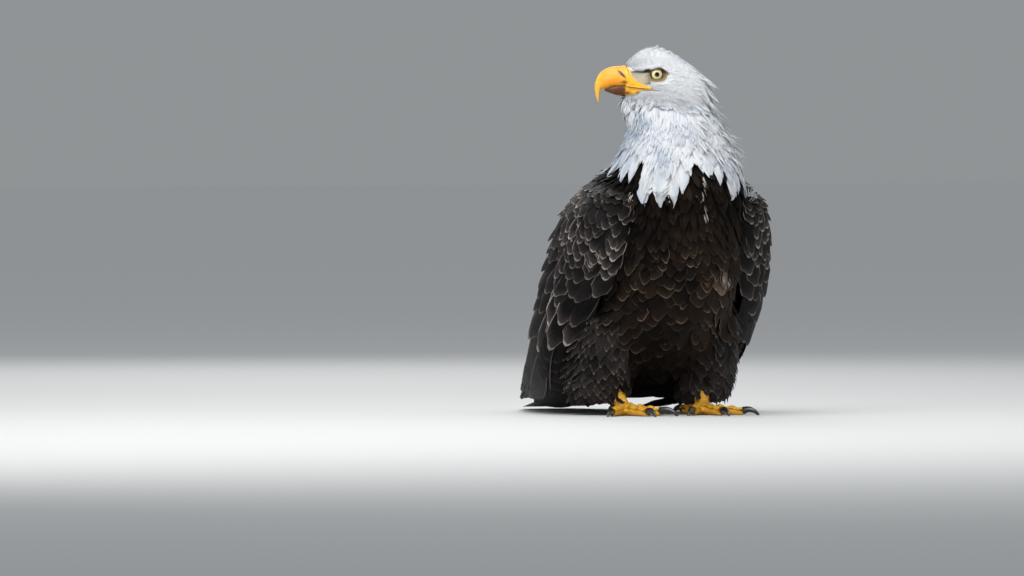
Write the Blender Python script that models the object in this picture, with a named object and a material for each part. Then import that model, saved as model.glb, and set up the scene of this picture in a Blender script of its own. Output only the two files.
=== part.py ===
"""Bald eagle, adult, life size, standing with its head turned to its right and its wings hanging loose.

Metres, +Z up.  The bird faces -Y, so its own right side is at -X.  The head is a frame of its own:
'forward' runs along the bill, 'side' towards the bird's left eye and 'up' is +Z.
"""

import math

import bmesh
import bpy
import numpy as np
from mathutils import Vector

# Driving dimensions of the bird.
EYE_HEIGHT = 0.491
NECK_AXIS_Y = -0.064
HEAD_TURN = math.radians(115)
HEAD_SET_BACK = 0.028
EYE_RADIUS = 0.0115
EYE_SIDE = 0.0222
FOOT_SPREAD = 0.062
FOOT_Y = -0.018
MIDDLE_TOE = 0.067
CLAW_ARC = 0.034
CLAW_BEND = math.radians(100)
CLAW_RISE = math.radians(28)
CLAW_HALF = 0.0050
CLAW_POINT = 0.0005
LONG_CLAW = 1.12
SHORT_CLAW = 0.95
SHANK_TOP = Vector((FOOT_SPREAD + 0.012, -0.006, 0.058))
SHANK_FOOT = Vector((FOOT_SPREAD, FOOT_Y, 0.009))
SHANK_HALF = 0.0115
SHANK_WAIST = 0.0035
SHANK_DEPTH = 1.1
FOOT_SWELL = 0.002
TOE_FROM_SHANK = 0.011
TOE_TAPER = 0.30
KNUCKLE = 0.10
TOE_END_SHARE = 0.62
TOE_FLAT = 0.0008
KNUCKLES = 3
CLAW_ROOT = 0.002
CLAW_SET = 0.75
CLAW_NARROW = 0.85
SOCKET_SET = Vector((0.0005, 0.0, 0.0425))
SOCKET_HALF = Vector((0.0150, 0.0135, 0.0115))
TAIL_TIP_Y = 0.384
HACKLE_POINT = 0.016
GAP = 0.0003
NECK_ROOM = 0.0010
FLOOR = 0.0

# Facets: points round a section, and sections along a length.
ROUND_BODY = 26
ROUND_HEAD = 22
ROUND_SMALL = 12
ROUND_BILL = 16
ROUND_TOE = 8
ROUND_CLAW = 6
TRUNK_RINGS = 12
SKULL_RINGS = 12
TOE_RINGS = 7
SHANK_RINGS = 7
CLAW_RINGS = 6
LEFT = 1
RIGHT = -1
SIDE_NAMES = {LEFT: "left", RIGHT: "right"}

# Sections of the body from the vent up: height, middle Y, half width, half depth.
TRUNK = [
    (0.044, 0.055, 0.030, 0.036),
    (0.060, 0.050, 0.060, 0.068),
    (0.090, 0.042, 0.092, 0.102),
    (0.130, 0.028, 0.110, 0.124),
    (0.180, 0.006, 0.115, 0.131),
    (0.240, -0.018, 0.112, 0.128),
    (0.290, -0.037, 0.106, 0.116),
    (0.330, -0.051, 0.092, 0.095),
    (0.370, NECK_AXIS_Y, 0.070, 0.066),
    (0.392, NECK_AXIS_Y, 0.035, 0.034),
]

# Hackled neck: height, shift along the head's backward line, half length, half breadth.
NECK = [
    (0.300, 0.000, 0.1000, 0.102),
    (0.318, 0.000, 0.1015, 0.101),
    (0.345, 0.000, 0.0985, 0.095),
    (0.368, 0.000, 0.0915, 0.085),
    (0.392, 0.000, 0.0805, 0.072),
    (0.415, 0.001, 0.0710, 0.060),
    (0.436, -0.004, 0.0660, 0.048),
    (0.452, -0.008, 0.0560, 0.036),
]

# Beard of the throat, under the lower bill: height from the eye, forward of its middle, half
# length, half width.  Its top lies inside the bill's room and its foot inside the neck.
BEARD = [
    (-0.0285, 0.0390, 0.0120, 0.0080),
    (-0.0360, 0.0385, 0.0160, 0.0105),
    (-0.0460, 0.0380, 0.0165, 0.0130),
    (-0.0600, 0.0335, 0.0155, 0.0150),
    (-0.0760, 0.0260, 0.0145, 0.0150),
    (-0.0880, 0.0180, 0.0120, 0.0120),
]

# Skull with its feathers: forward of the eye, top, bottom, half width.
SKULL = [
    (-0.0790, -0.024, -0.048, 0.012),
    (-0.0700, -0.006, -0.062, 0.028),
    (-0.0500, 0.0130, -0.072, 0.0395),
    (-0.0280, 0.0280, -0.074, 0.0430),
    (-0.0080, 0.0375, -0.072, 0.0410),
    (0.0080, 0.0400, -0.067, 0.0360),
    (0.0250, 0.0345, -0.057, 0.0280),
    (0.0380, 0.0245, -0.045, 0.0200),
    (0.0490, 0.0110, -0.033, 0.0125),
]

# Upper bill: forward and up of the ridge, forward and up of the cutting edge, half width.
UPPER_BILL = [
    (0.0380, 0.0110, 0.0330, -0.0165, 0.0130),
    (0.0500, 0.0118, 0.0470, -0.0170, 0.0130),
    (0.0620, 0.0112, 0.0590, -0.0180, 0.0120),
    (0.0720, 0.0085, 0.0690, -0.0195, 0.0105),
    (0.0810, 0.0025, 0.0760, -0.0208, 0.0085),
    (0.0870, -0.0070, 0.0800, -0.0222, 0.0065),
    (0.0895, -0.0180, 0.0815, -0.0255, 0.0045),
    (0.0880, -0.0290, 0.0828, -0.0320, 0.0025),
    (0.0850, -0.0395, 0.0836, -0.0390, 0.0008),
]

# Lower bill: forward, top, bottom, half width.
LOWER_BILL = [
    (0.0270, -0.0100, -0.0310, 0.0120),
    (0.0420, -0.0110, -0.0315, 0.0112),
    (0.0570, -0.0130, -0.0310, 0.0098),
    (0.0680, -0.0160, -0.0295, 0.0072),
    (0.0755, -0.0200, -0.0270, 0.0035),
]

# Feathered thigh: height, out from the middle, Y, half width, half depth.
THIGH = [
    (0.018, 0.080, 0.022, 0.032, 0.030),
    (0.027, 0.081, 0.021, 0.042, 0.042),
    (0.060, 0.082, 0.018, 0.046, 0.054),
    (0.105, 0.083, 0.012, 0.048, 0.064),
    (0.145, 0.079, 0.004, 0.046, 0.066),
    (0.185, 0.070, -0.002, 0.036, 0.054),
    (0.215, 0.058, -0.006, 0.018, 0.028),
]

# Folded wing from shoulder (0) to tip (1).  The outer line is where the wing is widest, the back
# edge lies on the back, and the wrap is how far the leading edge curls round in front: angle, depth.
OUTER_LINE = [
    (0.00, 0.096, -0.050, 0.348),
    (0.10, 0.129, -0.052, 0.322),
    (0.22, 0.152, -0.042, 0.284),
    (0.38, 0.165, -0.020, 0.210),
    (0.52, 0.167, 0.012, 0.144),
    (0.65, 0.160, 0.060, 0.082),
    (0.78, 0.138, 0.130, 0.040),
    (0.90, 0.102, 0.232, 0.020),
    (1.00, 0.054, 0.345, 0.015),
]
BACK_EDGE = [
    (0.00, 0.042, 0.014, 0.364),
    (0.10, 0.044, 0.046, 0.338),
    (0.22, 0.040, 0.086, 0.300),
    (0.38, 0.028, 0.130, 0.240),
    (0.52, 0.018, 0.168, 0.184),
    (0.65, 0.008, 0.210, 0.130),
    (0.78, 0.004, 0.256, 0.084),
    (0.90, 0.010, 0.306, 0.048),
    (1.00, 0.040, 0.360, 0.020),
]
FRONT_WRAP = [
    (0.00, -35, 0.050),
    (0.12, -58, 0.064),
    (0.25, -60, 0.066),
    (0.38, -55, 0.058),
    (0.52, -40, 0.038),
    (0.66, -32, 0.028),
    (0.74, -48, 0.034),
    (0.82, -50, 0.042),
    (0.91, -42, 0.035),
    (1.00, 0, 0.010),
]
WING_THICKNESS = [
    (0.00, 0.018),
    (0.12, 0.030),
    (0.35, 0.026),
    (0.60, 0.012),
    (0.80, 0.007),
    (1.00, 0.003),
]
WING_WRAP = 2.3
WING_EDGE_SHARE = 0.30
WING_STATIONS = 15
WING_ACROSS = 9

# Where the folded wing changes from coverts to flight feathers, and from secondaries to
# primaries: a point on each dividing plane, and its normal.
COVERT_LINE = Vector((0, 0.072, 0.185))
ACROSS_WING = Vector((0, 0.62, -0.78))
FLIGHT_LINE = Vector((0, 0.075, 0.125))
UNDER_WING = Vector((0, 0.36, 0.93))

# Tail: Y, top, bottom, half width.
TAIL = [
    (0.090, 0.142, 0.070, 0.036),
    (0.130, 0.120, 0.046, 0.043),
    (0.180, 0.092, 0.030, 0.046),
    (0.240, 0.060, 0.016, 0.049),
    (0.300, 0.032, 0.005, 0.053),
    (0.345, 0.015, -0.001, 0.056),
    (0.370, 0.010, -0.002, 0.053),
    (TAIL_TIP_Y, 0.007, -0.002, 0.036),
]

# Toes: heading from straight ahead in degrees, share of the middle toe's length, thickness.
TOES = {
    "middle": (2, 1.00, 0.0086),
    "inner": (38, 0.74, 0.0088),
    "outer": (-40, 0.86, 0.0080),
    "hind": (172, 0.56, 0.0088),
}

COLOURS = {
    "white_feathers": ((0.82, 0.84, 0.86), 0.85),
    "brown_feathers": ((0.050, 0.034, 0.026), 0.80),
    "bill_horn": ((0.86, 0.43, 0.03), 0.38),
    "foot_skin": ((0.78, 0.42, 0.05), 0.60),
    "claw_horn": ((0.018, 0.015, 0.014), 0.30),
    "eye_pale": ((0.72, 0.68, 0.42), 0.08),
}


def clear_scene():
    for item in list(bpy.data.objects):
        bpy.data.objects.remove(item)


def make_material(name):
    colour, roughness = COLOURS[name]
    material = bpy.data.materials.new(name)
    material.use_nodes = True
    shader = material.node_tree.nodes["Principled BSDF"]
    shader.inputs["Base Color"].default_value = (*colour, 1.0)
    shader.inputs["Roughness"].default_value = roughness
    shader.inputs["Metallic"].default_value = 0.0
    material.diffuse_color = (*colour, 1.0)
    return material


def through(stops, at):
    """Values at a position on smooth curves through rows of (position, value, value...)."""
    rows = np.array(stops, dtype=float)
    place, value = rows[:, 0], rows[:, 1:]
    slope = np.gradient(value, place, axis=0)
    i = int(np.clip(np.searchsorted(place, at) - 1, 0, len(place) - 2))
    step = place[i + 1] - place[i]
    t = (at - place[i]) / step
    start = (1 + 2 * t) * (1 - t) ** 2 * value[i] + t * (1 - t) ** 2 * step * slope[i]
    end = t * t * (3 - 2 * t) * value[i + 1] + t * t * (t - 1) * step * slope[i + 1]
    return start + end


def ring(bm, centre, side, up, half_side, half_up, count, power=2.0, narrow=0.0):
    """A closed superelliptic section, narrower towards 'up' where narrow is positive."""
    verts = []
    for k in range(count):
        angle = 2 * math.pi * k / count
        c, s = math.cos(angle), math.sin(angle)
        reach = (abs(c) ** power + abs(s) ** power) ** (-1 / power)
        across = half_side * c * reach * (1 - narrow * s)
        verts.append(bm.verts.new(centre + side * across + up * (half_up * s * reach)))
    return close_ring(bm, verts)


def close_ring(bm, verts):
    return [bm.edges.new((a, b)) for a, b in zip(verts, verts[1:] + verts[:1])]


def loft(name, rings, bm):
    """Bridges the rings in order, caps both ends and returns the mesh."""
    for first, second in zip(rings, rings[1:]):
        bmesh.ops.bridge_loops(bm, edges=first + second)
    for end in (rings[0], rings[-1]):
        bmesh.ops.contextual_create(bm, geom=end)
    bmesh.ops.triangulate(bm, faces=bm.faces)
    bmesh.ops.recalc_face_normals(bm, faces=bm.faces)
    return finish_mesh(name, bm)


def finish_mesh(name, bm):
    mesh = bpy.data.meshes.new(name)
    bm.to_mesh(mesh)
    bm.free()
    mesh.shade_smooth()
    mesh.set_sharp_from_angle(angle=math.radians(50))
    return mesh


def cut_flat(mesh, point, normal):
    """Cuts the mesh at a plane, drops what lies on the normal's side and closes the cut."""
    bm = bmesh.new()
    bm.from_mesh(mesh)
    geom = bm.verts[:] + bm.edges[:] + bm.faces[:]
    cut = bmesh.ops.bisect_plane(bm, geom=geom, plane_co=point, plane_no=normal, clear_outer=True)
    rim = [e for e in cut["geom_cut"] if isinstance(e, bmesh.types.BMEdge)]
    bmesh.ops.edgeloop_fill(bm, edges=rim)
    bmesh.ops.recalc_face_normals(bm, faces=bm.faces)
    bm.to_mesh(mesh)
    bm.free()
    return mesh


def rest_on_floor(mesh):
    """Takes off what lies below the floor, which leaves a small flat to stand on."""
    return cut_flat(mesh, Vector((0, 0, FLOOR)), Vector((0, 0, -1)))


def add(name, mesh, material):
    piece = bpy.data.objects.new(name, mesh)
    mesh.materials.clear()
    mesh.materials.append(material)
    bird.objects.link(piece)
    piece.parent = stand_point
    return piece


def hide_tool(name, mesh):
    """A hidden shape that a Boolean joins or cuts with."""
    tool = bpy.data.objects.new(name, mesh)
    tool.hide_render = True
    tool.display_type = "WIRE"
    cutters.objects.link(tool)
    tool.parent = stand_point
    return tool


def boolean(piece, tool, operation):
    step = piece.modifiers.new(tool.name, "BOOLEAN")
    step.operation = operation
    step.solver = "EXACT"
    step.object = tool


def cut_by(piece, neighbour, gap=GAP, shape=None):
    """Leaves room for a neighbour: a hidden copy of it, larger by the gap, is cut away."""
    name = "room_for_" + neighbour.name
    cutter = bpy.data.objects.get(name)
    if cutter is None:
        bm = bmesh.new()
        bm.from_mesh(shape or neighbour.data)
        bm.normal_update()
        for vert, normal in [(v, v.normal.copy()) for v in bm.verts]:
            vert.co += normal * gap
        cutter = hide_tool(name, finish_mesh(name, bm))
    boolean(piece, cutter, "DIFFERENCE")


def trunk_mesh():
    bm = bmesh.new()
    low, high = TRUNK[0][0], TRUNK[-1][0]
    rings = []
    for k in range(TRUNK_RINGS):
        height = low + (high - low) * (1 - math.cos(math.pi * k / (TRUNK_RINGS - 1))) / 2
        y, half_x, half_y = through(TRUNK, height)
        rings.append(ring(bm, Vector((0, y, height)), Vector((1, 0, 0)), Vector((0, 1, 0)),
                          half_x, half_y, ROUND_BODY, power=2.15))
    return loft("trunk", rings, bm)


def head_point(forward, up, side=0.0):
    return eye_middle + head_forward * forward + head_side * side + Vector((0, 0, up))


def neck_mesh(notch=HACKLE_POINT):
    """The hackled neck, whose lowest edge rises and falls in pointed hackles."""
    bm = bmesh.new()
    rings = []
    for height, shift, half_long, half_broad in NECK:
        centre = neck_axis - head_forward * shift + Vector((0, 0, height))
        rings.append(ring(bm, centre, head_forward, head_side, half_long, half_broad, ROUND_BODY))
    for k, edge in enumerate(rings[0]):
        edge.verts[0].co.z += notch * (k % 2)
    return loft("neck", rings, bm)


def beard_mesh():
    bm = bmesh.new()
    rings = []
    for up, forward, half_long, half_broad in BEARD:
        rings.append(ring(bm, head_point(forward, up), head_forward, head_side, half_long, half_broad,
                          ROUND_SMALL))
    return loft("beard", rings, bm)


def skull_mesh():
    bm = bmesh.new()
    rings = []
    low, high = SKULL[0][0], SKULL[-1][0]
    for k in range(SKULL_RINGS):
        forward = low + (high - low) * (1 - math.cos(math.pi * k / (SKULL_RINGS - 1))) / 2
        top, bottom, half_side = through(SKULL, forward)
        rings.append(ring(bm, head_point(forward, (top + bottom) / 2), head_side, Vector((0, 0, 1)),
                          half_side, (top - bottom) / 2, ROUND_HEAD, power=2.2, narrow=0.10))
    return loft("head", rings, bm)


def upper_bill_mesh():
    bm = bmesh.new()
    rings = []
    for ridge_f, ridge_u, edge_f, edge_u, half_side in UPPER_BILL:
        ridge, edge = head_point(ridge_f, ridge_u), head_point(edge_f, edge_u)
        rings.append(ring(bm, (ridge + edge) / 2, head_side, (ridge - edge).normalized(),
                          half_side, (ridge - edge).length / 2, ROUND_BILL, power=2.2, narrow=0.22))
    return loft("bill_upper", rings, bm)


def lower_bill_mesh():
    bm = bmesh.new()
    rings = []
    for forward, top, bottom, half_side in LOWER_BILL:
        rings.append(ring(bm, head_point(forward, (top + bottom) / 2), head_side, Vector((0, 0, 1)),
                          half_side, (top - bottom) / 2, ROUND_SMALL, power=2.2))
    return loft("bill_lower", rings, bm)


def ball_mesh(name, centre, half_forward, half_side, half_up, segments=14, rows=9):
    """An ellipsoid lined up with the head."""
    bm = bmesh.new()
    bmesh.ops.create_uvsphere(bm, u_segments=segments, v_segments=rows, radius=1.0)
    bmesh.ops.triangulate(bm, faces=bm.faces)
    for vert in bm.verts:
        x, z, y = vert.co
        vert.co = centre + head_forward * (x * half_forward) + head_side * (y * half_side)
        vert.co.z += z * half_up
    bm.normal_update()
    bmesh.ops.recalc_face_normals(bm, faces=bm.faces)
    return finish_mesh(name, bm)


def thigh_mesh(way):
    bm = bmesh.new()
    rings = []
    for height, out, y, half_x, half_y in THIGH:
        rings.append(ring(bm, Vector((way * out, y, height)), Vector((1, 0, 0)), Vector((0, 1, 0)),
                          half_x, half_y, 22))
    return loft("thigh", rings, bm)


def wing_point(along, across):
    """Outer face of the left wing: along from shoulder to tip, across from leading edge to back."""
    outer = through(OUTER_LINE, along)
    back = through(BACK_EDGE, along)
    turn, front_depth = through(FRONT_WRAP, along)
    angle = turn + (90 - turn) * across
    bend = math.radians(angle)
    out = max(math.cos(bend), 0.0) ** (2 / WING_WRAP)
    behind = abs(math.sin(bend)) ** (2 / WING_WRAP)
    depth = back[1] - outer[1] if angle > 0 else -front_depth
    return Vector((back[0] + (outer[0] - back[0]) * out,
                   outer[1] + depth * behind,
                   outer[2] + (back[2] - outer[2]) * angle / 90))


def wing_normal(along, across):
    step = 0.01
    a, b = min(along + step, 1), max(along - step, 0)
    c, d = min(across + step, 1), max(across - step, 0)
    run = wing_point(a, across) - wing_point(b, across)
    turn = wing_point(along, c) - wing_point(along, d)
    return run.cross(turn).normalized()


def wing_mesh(way):
    """The folded wing as a curved slab that hangs round the flank, thick at the arm."""
    bm = bmesh.new()
    rings = []
    for k in range(WING_STATIONS):
        along = k / (WING_STATIONS - 1)
        thick = through(WING_THICKNESS, along)[0]
        outer, inner = [], []
        for j in range(WING_ACROSS):
            across = j / (WING_ACROSS - 1)
            swell = WING_EDGE_SHARE + (1 - WING_EDGE_SHARE) * math.sin(math.pi * across) ** 0.7
            point = wing_point(along, across)
            normal = wing_normal(along, across)
            outer.append(point)
            inner.append(point - normal * (thick * swell))
        points = outer + inner[::-1]
        verts = [bm.verts.new((way * p.x, p.y, p.z)) for p in points]
        rings.append(close_ring(bm, verts))
    return loft("wing", rings, bm)


def tail_mesh():
    bm = bmesh.new()
    rings = []
    for y, top, bottom, half_x in TAIL:
        rings.append(ring(bm, Vector((0, y, (top + bottom) / 2)), Vector((1, 0, 0)), Vector((0, 0, 1)),
                          half_x, (top - bottom) / 2, 22, power=2.3))
    return rest_on_floor(loft("tail", rings, bm))


def tarsus_mesh(way):
    """The bare shank, narrowest at half its height."""
    mirror = Vector((way, 1, 1))
    top, foot = SHANK_TOP * mirror, SHANK_FOOT * mirror
    bm = bmesh.new()
    rings = []
    for k in range(SHANK_RINGS):
        t = k / (SHANK_RINGS - 1)
        radius = SHANK_HALF - SHANK_WAIST * math.sin(math.pi * t) + FOOT_SWELL * t ** 4
        rings.append(ring(bm, top.lerp(foot, t), Vector((1, 0, 0)), Vector((0, 1, 0)),
                          radius, radius * SHANK_DEPTH, ROUND_SMALL))
    return loft("tarsus", rings, bm)


def toe_path(way, name):
    """Start, heading, length and half thickness of a toe."""
    turn, share, thick = TOES[name]
    angle = math.radians(turn)
    heading = Vector((-way * math.sin(angle), -math.cos(angle), 0))
    root = Vector((way * FOOT_SPREAD, FOOT_Y, 0)) + heading * TOE_FROM_SHANK
    return root, heading, MIDDLE_TOE * share, thick


def toe_mesh(way, name):
    """A toe with its knuckles, flat where it stands."""
    root, heading, length, thick = toe_path(way, name)
    bm = bmesh.new()
    rings = []
    for k in range(TOE_RINGS):
        t = k / (TOE_RINGS - 1)
        knuckle = 1 + KNUCKLE * math.cos(2 * math.pi * KNUCKLES * t)
        half = thick * (1 - TOE_TAPER * t) * knuckle * (TOE_END_SHARE if t in (0, 1) else 1.0)
        middle = root + heading * (length * t) + Vector((0, 0, half - TOE_FLAT))
        rings.append(ring(bm, middle, heading.cross(Vector((0, 0, 1))), Vector((0, 0, 1)),
                          half, half, ROUND_TOE))
    return rest_on_floor(loft("toe", rings, bm))


def claw_mesh(way, name):
    """A hooked claw that rises from the toe's end and curves down to the floor."""
    root, heading, length, thick = toe_path(way, name)
    reach = CLAW_ARC * (LONG_CLAW if name in ("hind", "inner") else SHORT_CLAW)
    start = root + heading * (length - CLAW_ROOT) + Vector((0, 0, thick * CLAW_SET))
    radius = reach / CLAW_BEND
    bm = bmesh.new()
    rings = []
    for k in range(CLAW_RINGS):
        t = k / (CLAW_RINGS - 1)
        bend = CLAW_RISE - CLAW_BEND * t
        centre = start + heading * (radius * (math.sin(CLAW_RISE) - math.sin(bend)))
        centre.z += radius * (math.cos(bend) - math.cos(CLAW_RISE))
        half = CLAW_HALF * (1 - t) ** 0.75 + CLAW_POINT
        up = (Vector((0, 0, 1)) * math.cos(bend) - heading * math.sin(bend)).normalized()
        rings.append(ring(bm, centre, heading.cross(Vector((0, 0, 1))), up,
                          half * CLAW_NARROW, half, ROUND_CLAW))
    return rest_on_floor(loft("claw", rings, bm))


def part_wing(way):
    """The wing in its three named lengths: coverts, secondaries and primaries."""
    name = "wing_" + SIDE_NAMES[way] + "_"
    half = GAP / 2
    coverts = cut_flat(wing_mesh(way), COVERT_LINE - ACROSS_WING * half, ACROSS_WING)
    flight = COVERT_LINE + ACROSS_WING * half
    upper = cut_flat(wing_mesh(way), flight, -ACROSS_WING)
    upper = cut_flat(upper, FLIGHT_LINE + UNDER_WING * half, -UNDER_WING)
    lower = cut_flat(wing_mesh(way), flight, -ACROSS_WING)
    lower = cut_flat(lower, FLIGHT_LINE - UNDER_WING * half, UNDER_WING)
    brown = materials["brown_feathers"]
    return (add(name + "coverts", coverts, brown), add(name + "secondaries", upper, brown),
            add(name + "primaries", lower, brown))


def build_head():
    white, horn = materials["white_feathers"], materials["bill_horn"]
    skull = add("head", skull_mesh(), white)
    upper = add("bill_upper", upper_bill_mesh(), horn)
    lower = add("bill_lower", lower_bill_mesh(), horn)
    for way in (LEFT, RIGHT):
        name = SIDE_NAMES[way]
        middle = head_point(SOCKET_SET.x, SOCKET_SET.y, way * SOCKET_SET.z)
        socket = ball_mesh("socket_" + name, middle, SOCKET_HALF.x, SOCKET_HALF.y, SOCKET_HALF.z)
        boolean(skull, hide_tool("socket_" + name, socket), "DIFFERENCE")
        ball = ball_mesh("eye_" + name, head_point(0, 0, way * EYE_SIDE), EYE_RADIUS, EYE_RADIUS, EYE_RADIUS)
        cut_by(skull, add("eye_" + name, ball, materials["eye_pale"]))
    cut_by(skull, upper)
    cut_by(skull, lower)
    cut_by(lower, upper)
    return skull


def build_leg(way, trunk):
    name = "_" + SIDE_NAMES[way]
    thigh = add("thigh" + name, thigh_mesh(way), materials["brown_feathers"])
    cut_by(thigh, trunk)
    tarsus = add("tarsus" + name, tarsus_mesh(way), materials["foot_skin"])
    cut_by(thigh, tarsus)
    toes = {}
    for toe_name in TOES:
        toe = add("toe" + name + "_" + toe_name, toe_mesh(way, toe_name), materials["foot_skin"])
        cut_by(toe, tarsus)
        if toe_name in ("inner", "outer"):
            cut_by(toe, toes["middle"])
        toes[toe_name] = toe
        claw = add("claw" + name + "_" + toe_name, claw_mesh(way, toe_name), materials["claw_horn"])
        cut_by(claw, toe)
    return thigh


clear_scene()
bird = bpy.data.collections.new("bald_eagle")
cutters = bpy.data.collections.new("cutters")
bpy.context.scene.collection.children.link(bird)
bpy.context.scene.collection.children.link(cutters)
stand_point = bpy.data.objects.new("stand_point", None)
bird.objects.link(stand_point)
materials = {name: make_material(name) for name in COLOURS}

head_forward = Vector((-math.sin(HEAD_TURN), -math.cos(HEAD_TURN), 0))
head_side = Vector((0, 0, 1)).cross(head_forward)
neck_axis = Vector((0, NECK_AXIS_Y, 0))
eye_middle = neck_axis + head_forward * HEAD_SET_BACK + Vector((0, 0, EYE_HEIGHT))

body = add("trunk", trunk_mesh(), materials["brown_feathers"])
head = build_head()
neck = add("neck", neck_mesh(), materials["white_feathers"])
boolean(neck, hide_tool("beard", beard_mesh()), "UNION")
cut_by(neck, head)
cut_by(neck, bpy.data.objects["bill_lower"])
cut_by(neck, body)
tail = add("tail", tail_mesh(), materials["white_feathers"])
cut_by(tail, body)
plain_neck = neck_mesh(notch=0)
for way in (LEFT, RIGHT):
    thigh = build_leg(way, body)
    for feathers in part_wing(way):
        cut_by(feathers, body)
        cut_by(feathers, tail)
        cut_by(feathers, thigh)
        cut_by(feathers, neck, NECK_ROOM, plain_neck)

corners = [Vector(c) for piece in bird.objects if piece.type == "MESH" for c in piece.bound_box]
for axis in (0, 1):
    middle = (min(c[axis] for c in corners) + max(c[axis] for c in corners)) / 2
    stand_point.location[axis] = -middle
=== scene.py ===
import math

import bmesh
import bpy
import numpy as np
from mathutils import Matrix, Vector
from mathutils.bvhtree import BVHTree


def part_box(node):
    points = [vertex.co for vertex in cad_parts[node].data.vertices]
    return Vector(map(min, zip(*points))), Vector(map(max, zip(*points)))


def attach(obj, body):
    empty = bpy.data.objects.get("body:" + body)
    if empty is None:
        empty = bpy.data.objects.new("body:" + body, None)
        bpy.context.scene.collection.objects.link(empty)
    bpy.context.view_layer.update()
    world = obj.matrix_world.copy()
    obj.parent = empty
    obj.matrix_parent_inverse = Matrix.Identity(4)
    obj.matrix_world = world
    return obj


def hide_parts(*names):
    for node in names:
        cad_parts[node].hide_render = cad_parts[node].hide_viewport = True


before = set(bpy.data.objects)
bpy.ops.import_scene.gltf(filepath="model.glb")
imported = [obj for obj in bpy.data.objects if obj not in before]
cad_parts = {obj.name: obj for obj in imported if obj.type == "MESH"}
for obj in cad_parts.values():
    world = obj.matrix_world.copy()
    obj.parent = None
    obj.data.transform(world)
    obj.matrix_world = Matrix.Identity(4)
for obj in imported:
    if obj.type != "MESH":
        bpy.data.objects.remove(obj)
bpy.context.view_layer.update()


# ---- Skin -------------------------------------------------------------------------------
# The body that the feathers are rooted in: one hide from the crown to the toes, drawn over
# a padded form and lying inside the coat by the coat's depth. The scaly feet are bare hide.

SIDES = {"left": 1, "right": -1}
TOES = ("middle", "inner", "outer", "hind")
FLESH = ["head", "neck", "trunk", "tail"]
FLESH += [f"{part}_{side}" for side in SIDES for part in ("thigh", "tarsus")]
FLESH += [f"wing_{side}_coverts" for side in SIDES]
FLESH += [f"toe_{side}_{toe}" for side in SIDES for toe in TOES]
HIDE_GRAIN = 0.0034
HIDE_SETTLING = 5
UNWRAP_ANGLE = math.radians(66)
UNWRAP_MARGIN = 0.002
SOFTENING = 14
ABOVE_FEET = (0.045, 0.070)
UNDER_HEAD = (-0.075, -0.060)
TAIL_FLESH = 0.105
HEAD_TURN = math.radians(115)
COAT_DEPTH = {"head": 0.0032, "neck": 0.0085, "trunk": 0.0085, "tail": 0.0060, "thigh": 0.0070,
              "wing": 0.0060, "tarsus": 0.0002, "toe": 0.0}
DEPTH_BLENDING = 12
BARE_DEPTH = 0.0004

eye_boxes = [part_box(f"eye_{side}") for side in SIDES]
eye_middle = sum((low + high for low, high in eye_boxes), Vector()) / 4
head_forward = Vector((-math.sin(HEAD_TURN), -math.cos(HEAD_TURN), 0))
head_side = Vector((0, 0, 1)).cross(head_forward)
head_axes = np.array((head_forward, head_side, (0, 0, 1)))


def in_head(points):
    """Forward, left and up from the middle between the eyes."""
    return (np.asarray(points) - np.array(eye_middle)) @ head_axes.T


def ease(low, high, value):
    """Rises smoothly from 0 at low to 1 at high, or falls where low is the greater."""
    t = np.clip((value - low) / (high - low), 0, 1)
    return t * t * (3 - 2 * t)


def through(stops, at):
    """Values at each position on smooth curves through rows of (position, value, value...)."""
    table = np.array(stops, dtype=float)
    place, value = table[:, 0], table[:, 1:]
    slope = np.gradient(value, place, axis=0)
    at = np.atleast_1d(at)
    k = np.clip(np.searchsorted(place, at) - 1, 0, len(place) - 2)
    step = (place[k + 1] - place[k])[:, None]
    t = (at[:, None] - place[k][:, None]) / step
    return ((1 + 2 * t) * (1 - t) ** 2 * value[k] + t * (1 - t) ** 2 * step * slope[k]
            + t ** 2 * (3 - 2 * t) * value[k + 1] + t ** 2 * (t - 1) * step * slope[k + 1])


def link(name, data):
    """A new object in the scene, from its mesh, lamp or camera."""
    piece = bpy.data.objects.new(name, data)
    bpy.context.scene.collection.objects.link(piece)
    return piece


def link_bm(name, bm):
    """A new piece from a finished bmesh, which is freed."""
    mesh = bpy.data.meshes.new(name)
    bm.to_mesh(mesh)
    bm.free()
    return link(name, mesh)


def work_in_modifiers(piece):
    """Makes what the modifiers give the piece's own mesh."""
    graph = bpy.context.evaluated_depsgraph_get()
    mesh = bpy.data.meshes.new_from_object(piece.evaluated_get(graph))
    piece.modifiers.clear()
    piece.data = mesh


def vertex_array(mesh, attribute="co"):
    """The place, or another vector, of every vertex."""
    values = np.empty(len(mesh.vertices) * 3)
    mesh.vertices.foreach_get(attribute, values)
    return values.reshape(-1, 3)


def move_verts(mesh, places):
    """Puts every vertex at its new place."""
    mesh.vertices.foreach_set("co", places.ravel())
    mesh.update()


def solids(names):
    """The named solids in one bmesh, and which solid each face is from."""
    bm = bmesh.new()
    owners = []
    for name in names:
        bm.from_mesh(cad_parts[name].data)
        owners += [name] * (len(bm.faces) - len(owners))
    bmesh.ops.remove_doubles(bm, verts=bm.verts, dist=1e-6)
    return bm, owners


whole, owners = solids(FLESH)
outline = BVHTree.FromBMesh(whole)
skin = link_bm("skin", whole)
grain = skin.modifiers.new("grain", "REMESH")
grain.mode = "VOXEL"
grain.voxel_size = HIDE_GRAIN
settle = skin.modifiers.new("settle", "SMOOTH")
settle.factor = 0.5
settle.iterations = HIDE_SETTLING
work_in_modifiers(skin)

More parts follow.
